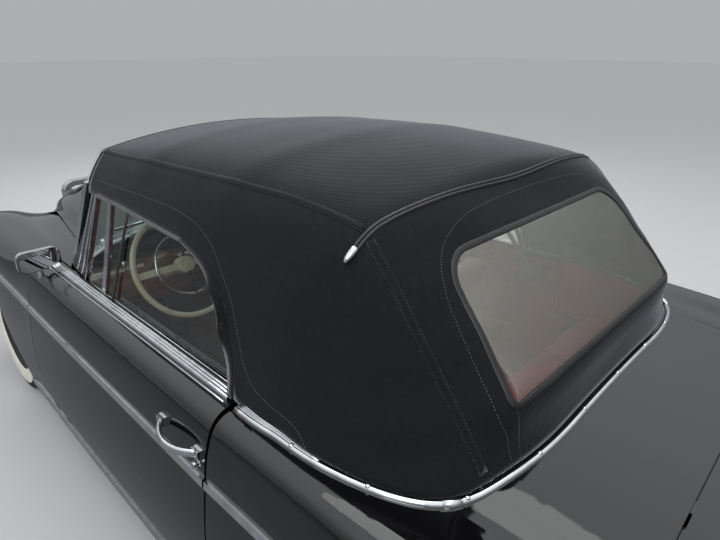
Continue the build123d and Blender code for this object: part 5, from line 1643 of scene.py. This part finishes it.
def boxed(width, height):
    """A soft-cornered bar profile of (across, up), from its foot."""
    w, c = width / 2, min(width, height) * 0.25
    return [(w, 0), (w, height - c), (w - c, height), (-w + c, height), (-w, height - c), (-w, 0)]


def along_x(y, z, x0, x1, profile):
    """A profile run along the car, its up towards the sky."""
    return swept([(x, y, z) for x in np.linspace(x0, x1, 12)], (0, 0, 1), profile)


for side, sign in SIDES:
    ridges = [along_x(sign * y, BELT_TOP - 0.001, *BELT_ENDS, half_round(w, h)) for y, w, h in BELT_RIDGES]
    ridges.append(along_x(sign * DRIP_RIDGE[0], DRIP_RIDGE[1], *BELT_ENDS, half_round(0.0050, 0.0035)))
    ridges.append(along_x(sign * GLASS_LINE[0], GLASS_LINE[1], -0.500, 0.440, boxed(0.0035, 0.0040)))
    mesh_piece("belt_moulding_" + side, ridges, "door_" + side, "chrome", plate)
    post_seal = [(quarter_post_x(z), sign * (glass_y(z) + 0.0060), z)
                 for z in np.linspace(QUARTER_POST[0][1], QUARTER_POST[1][1], 8)]
    seals = [along_x(sign * WIPING_SEAL[0], WIPING_SEAL[1], -0.520, 0.452, boxed(0.0062, 0.0110)),
             swept(post_seal, (0, sign, GLASS_LEAN), boxed(0.014, 0.0040))]
    mesh_piece("window_seal_" + side, seals, "door_" + side, "tyre", rubber)
print("belt mouldings of", len(ridges), "ridges")

# %% [markdown]
# A broad post fills the place between windscreen and door. It tapers from foot to head and turns
# in towards the windscreen, and two plated lines run up it, so its points come from one function
# of the share across the post and the share of its height.

# %% Windscreen posts
# columns: rear x, front x, height, in metres, of the post's foot and head
POST = [(0.469, 0.645, 0.9525), (0.391, 0.494, 1.288)]
POST_HALF = 0.007
POST_TURN = 0.016
POST_LINES = (0.30, 0.62)
POST_ROWS = 9
up_post = np.linspace(0, 1, POST_ROWS)


def post_place(sign, across_share, up_share, out, ahead=0.0):
    """A point of a post: its shares from rear to front and foot to head, its distance out from the glass."""
    rear, front, z = [a + (b - a) * up_share for a, b in zip(*POST)]
    x = rear + across_share * (front - rear) + ahead
    return x, sign * (glass_y(z) + out - POST_TURN * across_share), z


inner = 3 * POST_ROWS
last = inner - 3
faces = [(0, inner, inner + 1, 1), (1, inner + 1, inner + 2, 2),
         (last, last + 1, inner + last + 1, inner + last),
         (last + 1, last + 2, inner + last + 2, inner + last + 1)]
for a in range(0, last, 3):
    b = inner + a
    faces += [(a, a + 1, a + 4, a + 3), (b, b + 3, b + 4, b + 1), (a + 1, a + 2, a + 5, a + 4),
              (b + 1, b + 4, b + 5, b + 2), (a, a + 3, b + 3, b), (a + 2, b + 2, b + 5, a + 5)]
for side, sign in SIDES:
    corners = [post_place(sign, share, k, out - 0.010)
               for out in (POST_HALF, -POST_HALF) for k in up_post for share in (0.0, 0.5, 1.0)]
    glass_way = (0, sign, GLASS_LEAN)
    parts = [(corners, faces, 0)]
    for share in POST_LINES:
        line = [post_place(sign, share, k, -0.0035) for k in up_post]
        parts.append(swept(line, glass_way, half_round(0.009, 0.004), 1))
    lip = [post_place(sign, 0.0, k, -0.004, 0.004) for k in up_post]
    parts.append(swept(lip, glass_way, boxed(0.009, 0.0035), 2))
    crisp(mesh_piece("windscreen_post_" + side, parts, "body_shell", "body_paint", enamel, plate, rubber))
print("posts of", len(faces), "faces each")

# %% [markdown]
# The door mirror's glass faces back and a little inwards, so that from behind the left door it
# shows the seats. It is a rounded oblong, drawn as a circle whose sides are pushed out. Inside
# each quarter light a small plated catch holds the pane shut.

# %% Mirror glass and catches
MIRROR_MIDDLE = Vector((0.6495, 0.800, 1.001))
MIRROR_HALF = (0.068, 0.034)
MIRROR_ROUNDNESS = 0.55
MIRROR_STEPS = 24
CATCH_Z = 1.075
mirror_facing = Vector((-0.993, -0.094, 0.072)).normalized()
glass_points = []
for depth in (0.0, -0.004):
    for k in range(MIRROR_STEPS):
        angle = 2 * math.pi * k / MIRROR_STEPS
        y, z = [half * math.copysign(abs(v) ** MIRROR_ROUNDNESS, v)
                for half, v in zip(MIRROR_HALF, (math.cos(angle), math.sin(angle)))]
        glass_points.append(MIRROR_MIDDLE + mirror_facing * depth + Vector((0, 1, -0.09)) * y
                            + Vector((0.07, 0, 1)) * z)
glass_faces = [tuple(range(MIRROR_STEPS)), tuple(range(2 * MIRROR_STEPS - 1, MIRROR_STEPS - 1, -1))]
for k in range(MIRROR_STEPS):
    n = (k + 1) % MIRROR_STEPS
    glass_faces.append((k, n, MIRROR_STEPS + n, MIRROR_STEPS + k))


def silvered(m):
    """Silver behind glass: the sharpest mirror on the car, with faint wiping marks."""
    wipe = texture(m, 60, 3)
    return skin(m, {"Metallic": 1.0}, (wipe, (0.3, "#D5D9DB"), (0.7, "#E6E8EA")), (wipe, 0.01, 0.03))


mirror_glass = finish("silvered_glass", silvered)
crisp(mesh_piece("mirror_glass", [(glass_points, glass_faces, 0)], "door_left", "chrome", mirror_glass))
for side, sign in SIDES:
    x, y = quarter_post_x(CATCH_Z) + 0.020, glass_y(CATCH_Z) - 0.020
    lever = [(x, sign * (y - 0.004), CATCH_Z), (x + 0.010, sign * (y - 0.007), CATCH_Z - 0.016),
             (x + 0.014, sign * (y - 0.008), CATCH_Z - 0.034)]
    knob = [(0.0, -0.004), (0.009, -0.004), (0.009, 0.006), (0.0, 0.006)]
    catch = [turned(knob, (x, sign * y, CATCH_Z), (0, sign, 0.2), steps=14),
             swept(lever, (0, -sign, 0), half_round(0.008, 0.005, 0.002))]
    mesh_piece("quarter_light_latch_" + side, catch, "door_" + side, "chrome", plate)
print("mirror glass", [round(2000 * half) for half in MIRROR_HALF], "mm")

# %% [markdown]
# Two wipers rest on the windscreen. The blade's places and its up come from rays onto the curved
# pane, so the rubber lies along the glass. The arm runs down to a turned knob on the scuttle.

# %% Wipers
WIPER_STARTS = (0.100, -0.500)
WIPER_REACH = (0.40, 0.012)
WIPER_FOOT_Z = 1.030
spindle = [(0.013, -0.004), (0.013, 0.010), (0.009, 0.017), (0.0, 0.019)]
screen_tree = tree_of("windscreen_glass")
scuttle_tree = tree_of("scuttle")
wiper_parts = []
for y0 in WIPER_STARTS:
    blade = []
    for k in np.linspace(0, 1, 9):
        start = Vector((1.4, y0 + WIPER_REACH[0] * k, WIPER_FOOT_Z + WIPER_REACH[1] * k))
        place, normal, _, _ = screen_tree.ray_cast(start, Vector((-1, 0, 0)))
        if place is not None:
            blade.append((place, normal if normal.x > 0 else -normal))
    ups = [tuple(n) for _, n in blade]
    wiper_parts.append(swept([p + n * 0.002 for p, n in blade], ups, boxed(0.006, 0.010), 1))
    wiper_parts.append(swept([p + n * 0.010 for p, n in blade], ups, boxed(0.004, 0.005)))
    middle, normal = blade[len(blade) // 2]
    knob = cast(scuttle_tree, (0.80, middle.y + 0.16, 1.4), (0, 0, -1))
    arm = [knob + Vector((0, 0, 0.014)), knob.lerp(middle, 0.45) + Vector((0.012, 0, 0.020)),
           middle + normal * 0.015]
    wiper_parts.append(swept(arm, (0.5, 0, 0.85), boxed(0.008, 0.004)))
    wiper_parts.append(turned(spindle, knob, (0, 0, 1), steps=16))
mesh_piece("windscreen_wipers", wiper_parts, "body_shell", "chrome", plate, rubber)
print("wipers", len(wiper_parts), "parts")

# %% [markdown]
# ## Inside the cabin
# Through the glass one sees the facia: a large round instrument before the driver, a clock on the
# passenger's side, a loudspeaker grille between them. Each dial is a turned rim round a flat card
# with its marks as thin raised bars, all placed from where a ray meets the facia.

# %% Instruments
BACKWARDS = (-1, 0, 0)
MARK_END = 0.82
# columns: y, z, radius, number of marks, pointer's angle in degrees
DIALS = [(0.370, 0.850, 0.078, 21, -125), (-0.370, 0.860, 0.046, 13, 60)]
facia_tree = tree_of("dashboard")
dial_parts = []


def facia_x(y, z):
    """How far forward the facia lies at a place on it."""
    return cast(facia_tree, (0.2, y, z), (1, 0, 0)).x


def heading(degrees):
    """A direction across the dial, in degrees from its top towards the car's left."""
    return Vector((0, math.sin(math.radians(degrees)), math.cos(math.radians(degrees))))


for y, z, radius, marks, pointer in DIALS:
    x = facia_x(y, z)
    rim = [(radius, -0.001), (radius, 0.006), (radius - 0.004, 0.009), (radius - 0.008, 0.006),
           (radius - 0.008, 0.003)]
    card = [(radius - 0.007, 0.0), (radius - 0.007, 0.004), (0.0, 0.004)]
    dial_parts.append(turned(rim, (x, y, z), BACKWARDS, 0, 48))
    dial_parts.append(turned(card, (x, y, z), BACKWARDS, 1, 48))
    for k in range(marks):
        out, long = heading(-130 + 260 * k / (marks - 1)), 0.12 if k % 2 else 0.20
        ends = [Vector((x - 0.0042, y, z)) + out * (radius * share) for share in (MARK_END - long, MARK_END)]
        dial_parts.append(swept(ends, BACKWARDS, boxed(0.0016, 0.0006), 2))
    ends = [Vector((x - 0.0052, y, z)) + heading(pointer) * (radius * share) for share in (-0.15, 0.70)]
    dial_parts.append(swept(ends, BACKWARDS, boxed(0.0022, 0.001), 2))
    dial_parts.append(turned([(0.007, 0.004), (0.007, 0.009), (0.0, 0.010)], (x, y, z), BACKWARDS, 0, 16))
mesh_piece("instruments", dial_parts, "body_shell", "chrome", plate, dial_black, plate_white)
print("instruments", len(dial_parts), "parts")

# %% Loudspeaker grille and knobs
GRILLE_BARS = 11
GRILLE_PITCH = 0.011
GRILLE_HALF = 0.105
KNOB_Z = 0.80
knob = [(0.004, 0.0), (0.004, 0.016), (0.011, 0.018), (0.012, 0.024), (0.008, 0.029), (0.0, 0.030)]
face_x = facia_x(0.0, 0.83)
grille_parts = []
for z in [0.775 + GRILLE_PITCH * k for k in range(GRILLE_BARS)]:
    grille_parts.append(swept([(face_x, -GRILLE_HALF, z), (face_x, GRILLE_HALF, z)], BACKWARDS,
                              half_round(0.006, 0.005)))
for y in (0.155, 0.190, -0.155, -0.190):
    grille_parts.append(turned(knob, (facia_x(y, KNOB_Z), y, KNOB_Z), BACKWARDS, 1, 18))
mesh_piece("facia_fittings", grille_parts, "body_shell", "chrome", plate, ivory_plastic)
print("facia fittings", len(grille_parts), "parts")

# %% [markdown]
# The inside mirror hangs from the windscreen frame on a short arm. The pedals are rubber pads on
# bent steel arms: clutch and brake alike, the accelerator narrower.

# %% Inside mirror and pedals
mirror_arm = [(0.462, 0, 1.318), (0.485, 0, 1.345), (0.505, 0, 1.366)]
inside_mirror = [block((0.452, -0.100, 1.286), (0.464, 0.100, 1.330), 0.005, 0),
                 block((0.4508, -0.094, 1.291), (0.4525, 0.094, 1.325), 0.0005, 1),
                 swept(mirror_arm, (0, 1, 0), boxed(0.010, 0.008))]
mesh_piece("rear_view_mirror", inside_mirror, "body_shell", "chrome", plate, mirror_glass)
# columns: y, width of the pad
PEDALS = [(0.500, 0.055), (0.390, 0.055), (0.255, 0.045)]
PEDAL_ARM = [(0.762, 0.430), (0.800, 0.470), (0.845, 0.560), (0.880, 0.640)]
pedal_parts = []
for y, width in PEDALS:
    pedal_parts.append(block((0.745, y - width / 2, 0.400), (0.763, y + width / 2, 0.475), 0.004, 0))
    pedal_parts.append(swept([(x, y, z) for x, z in PEDAL_ARM], (0, 1, 0), boxed(0.014, 0.012), 1))
mesh_piece("pedals", pedal_parts, "body_shell", "tyre", rubber, steel)
print("pedals", len(PEDALS))

# %% [markdown]
# Each door card carries a padded arm rest and three rolls of hide, and in front of them a plated
# pull and a window winder. Rays say how far out the card lies at each height.

# %% Door furniture
ARM_REST_X = (-0.380, 0.080)
ARM_REST_Z = (0.635, 0.680)
ARM_REST_DEEP = 0.045
ROLL_HEIGHTS = (0.780, 0.560, 0.480)
# columns: x, z of the pivot, reach of the lever
LEVERS = [(0.300, 0.720, 0.085), (0.200, 0.560, 0.110)]
ARM_REST_AT = (-0.15, 0.66)
card_places = [ARM_REST_AT] + [(0.0, z) for z in ROLL_HEIGHTS] + [(x, z) for x, z, _ in LEVERS]
boss = [(0.022, -0.001), (0.022, 0.004), (0.012, 0.010), (0.009, 0.022), (0.0, 0.024)]
for side, sign in SIDES:
    card_tree = tree_of("door_" + side)
    inwards = (0, -sign, 0)
    card_y = {(x, z): abs(cast(card_tree, (x, sign * 0.45, z), (0, sign, 0)).y) for x, z in card_places}
    rest_y = card_y[ARM_REST_AT]
    low_y, high_y = sorted((sign * (rest_y - ARM_REST_DEEP), sign * (rest_y + 0.002)))
    cloth_parts = [block((ARM_REST_X[0], low_y, ARM_REST_Z[0]), (ARM_REST_X[1], high_y, ARM_REST_Z[1]),
                         0.014, 0, 3)]
    for z in ROLL_HEIGHTS:
        roll = [(x, sign * card_y[0.0, z], z) for x in np.linspace(-0.500, 0.560, 12)]
        cloth_parts.append(swept(roll, inwards, half_round(0.012, 0.006)))
    mesh_piece("door_card_" + side, cloth_parts, "door_" + side, "red_leather", hide)
    metal = []
    for x, z, reach in LEVERS:
        y = card_y[x, z]
        lever = [(x, sign * (y - 0.020), z), (x - reach * 0.6, sign * (y - 0.024), z - 0.006),
                 (x - reach, sign * (y - 0.020), z - 0.010)]
        metal.append(turned(boss, (x, sign * y, z), inwards, 0, 20))
        metal.append(swept(lever, inwards, half_round(0.012, 0.007, 0.001)))
    mesh_piece("door_handles_inside_" + side, metal, "door_" + side, "chrome", plate)
print("door cards", len(cloth_parts), "hide parts and", len(metal), "plated parts each")

# %% [markdown]
# ## Plates and boot furniture
# The number plates are plain enamelled sheets, with nothing printed on them. The front one stands
# on the bumper in a plated frame. The rear one lies on the boot lid, lifted until it clears the
# lid's swell, below a plated lamp and a handle.

# %% Front number plate
PLATE_WIDE, PLATE_HIGH = 0.520, 0.110
PLATE_FOOT_Z = 0.415
PLATE_FRAME = 0.006
AHEAD = (1, 0, 0)
half_plate = PLATE_WIDE / 2
front_x = cast(tree_of("bumpers"), (3.0, 0.0, 0.470), BACKWARDS).x
framed = half_plate + PLATE_FRAME
front_plate = [block((front_x - 0.001, -half_plate, PLATE_FOOT_Z),
                     (front_x + 0.003, half_plate, PLATE_FOOT_Z + PLATE_HIGH), 0.0008, 0),
               block((front_x - 0.004, -framed, PLATE_FOOT_Z - PLATE_FRAME),
                     (front_x + 0.001, framed, PLATE_FOOT_Z + PLATE_HIGH + PLATE_FRAME), 0.001, 1)]
mesh_piece("front_number_plate", front_plate, "body_shell", "chrome", plate_white, plate)
print("front plate at x", round(front_x, 3))

# %% Rear number plate, its lamp and the boot handle
lid_tree = tree_of("boot_lid")


def on_lid(y, z):
    """The boot lid's outside at a place, met from behind."""
    return cast(lid_tree, (-3.0, y, z), AHEAD)


plate_foot = on_lid(0.0, 0.640)
up = (on_lid(0.0, 0.745) - plate_foot).normalized()
out = Vector((-up.z, 0, up.x))
swell = max((on_lid(y, z) - plate_foot).dot(out)
            for y in np.linspace(-half_plate, half_plate, 9) for z in np.linspace(0.640, 0.750, 9))
plate_foot = plate_foot + out * swell
plate_points = [plate_foot + out * lift + Vector((0, y * half_plate, 0)) + up * (PLATE_HIGH * s)
                for lift in (0.004, 0.008) for y, s in ((-1, 0), (1, 0), (1, 1), (-1, 1))]
plate_faces = [(0, 1, 2, 3), (7, 6, 5, 4), (0, 4, 5, 1), (1, 5, 6, 2), (2, 6, 7, 3), (3, 7, 4, 0)]
rear_plate = [(plate_points, plate_faces, 0)]
crisp(mesh_piece("rear_number_plate", rear_plate, "boot_lid", "chrome", plate_white), 30)
LAMP_HALF = 0.11
GRIP_HALF = 0.06
GRIP_BOW = 0.022
lamp_at, grip_at = on_lid(0.0, 0.790) + out * 0.001, on_lid(0.0, 0.828)
lamp_line = [lamp_at + Vector((0, y, 0)) for y in np.linspace(-LAMP_HALF, LAMP_HALF, 9)]
grip_line = [grip_at + Vector((0, y, 0)) + out * (0.004 + GRIP_BOW * (1 - (y / GRIP_HALF) ** 2))
             for y in np.linspace(-GRIP_HALF, GRIP_HALF, 9)]
lamp_parts = [swept(lamp_line, tuple(out), half_round(0.030, 0.020, 0.004)),
              swept(grip_line, tuple(out), half_round(0.014, 0.008, 0.002))]
mesh_piece("boot_handle_and_lamp", lamp_parts, "boot_lid", "chrome", plate)
print("rear plate's foot", [round(v, 3) for v in plate_foot], "lifted", round(swell * 1000, 1), "mm")

# %% [markdown]
# The boot's floor steps down behind the axle. A carpeted board closes the step.

# %% Boot step board
STEP_LOW, STEP_HIGH = 0.377, 0.549
step_board = block((-1.480, -0.520, STEP_LOW), (-1.466, 0.520, STEP_HIGH), 0.003)
mesh_piece("boot_step_board", [step_board], "body_shell", "red_leather", carpet)
print("step board closes", round(STEP_HIGH - STEP_LOW, 3), "m")
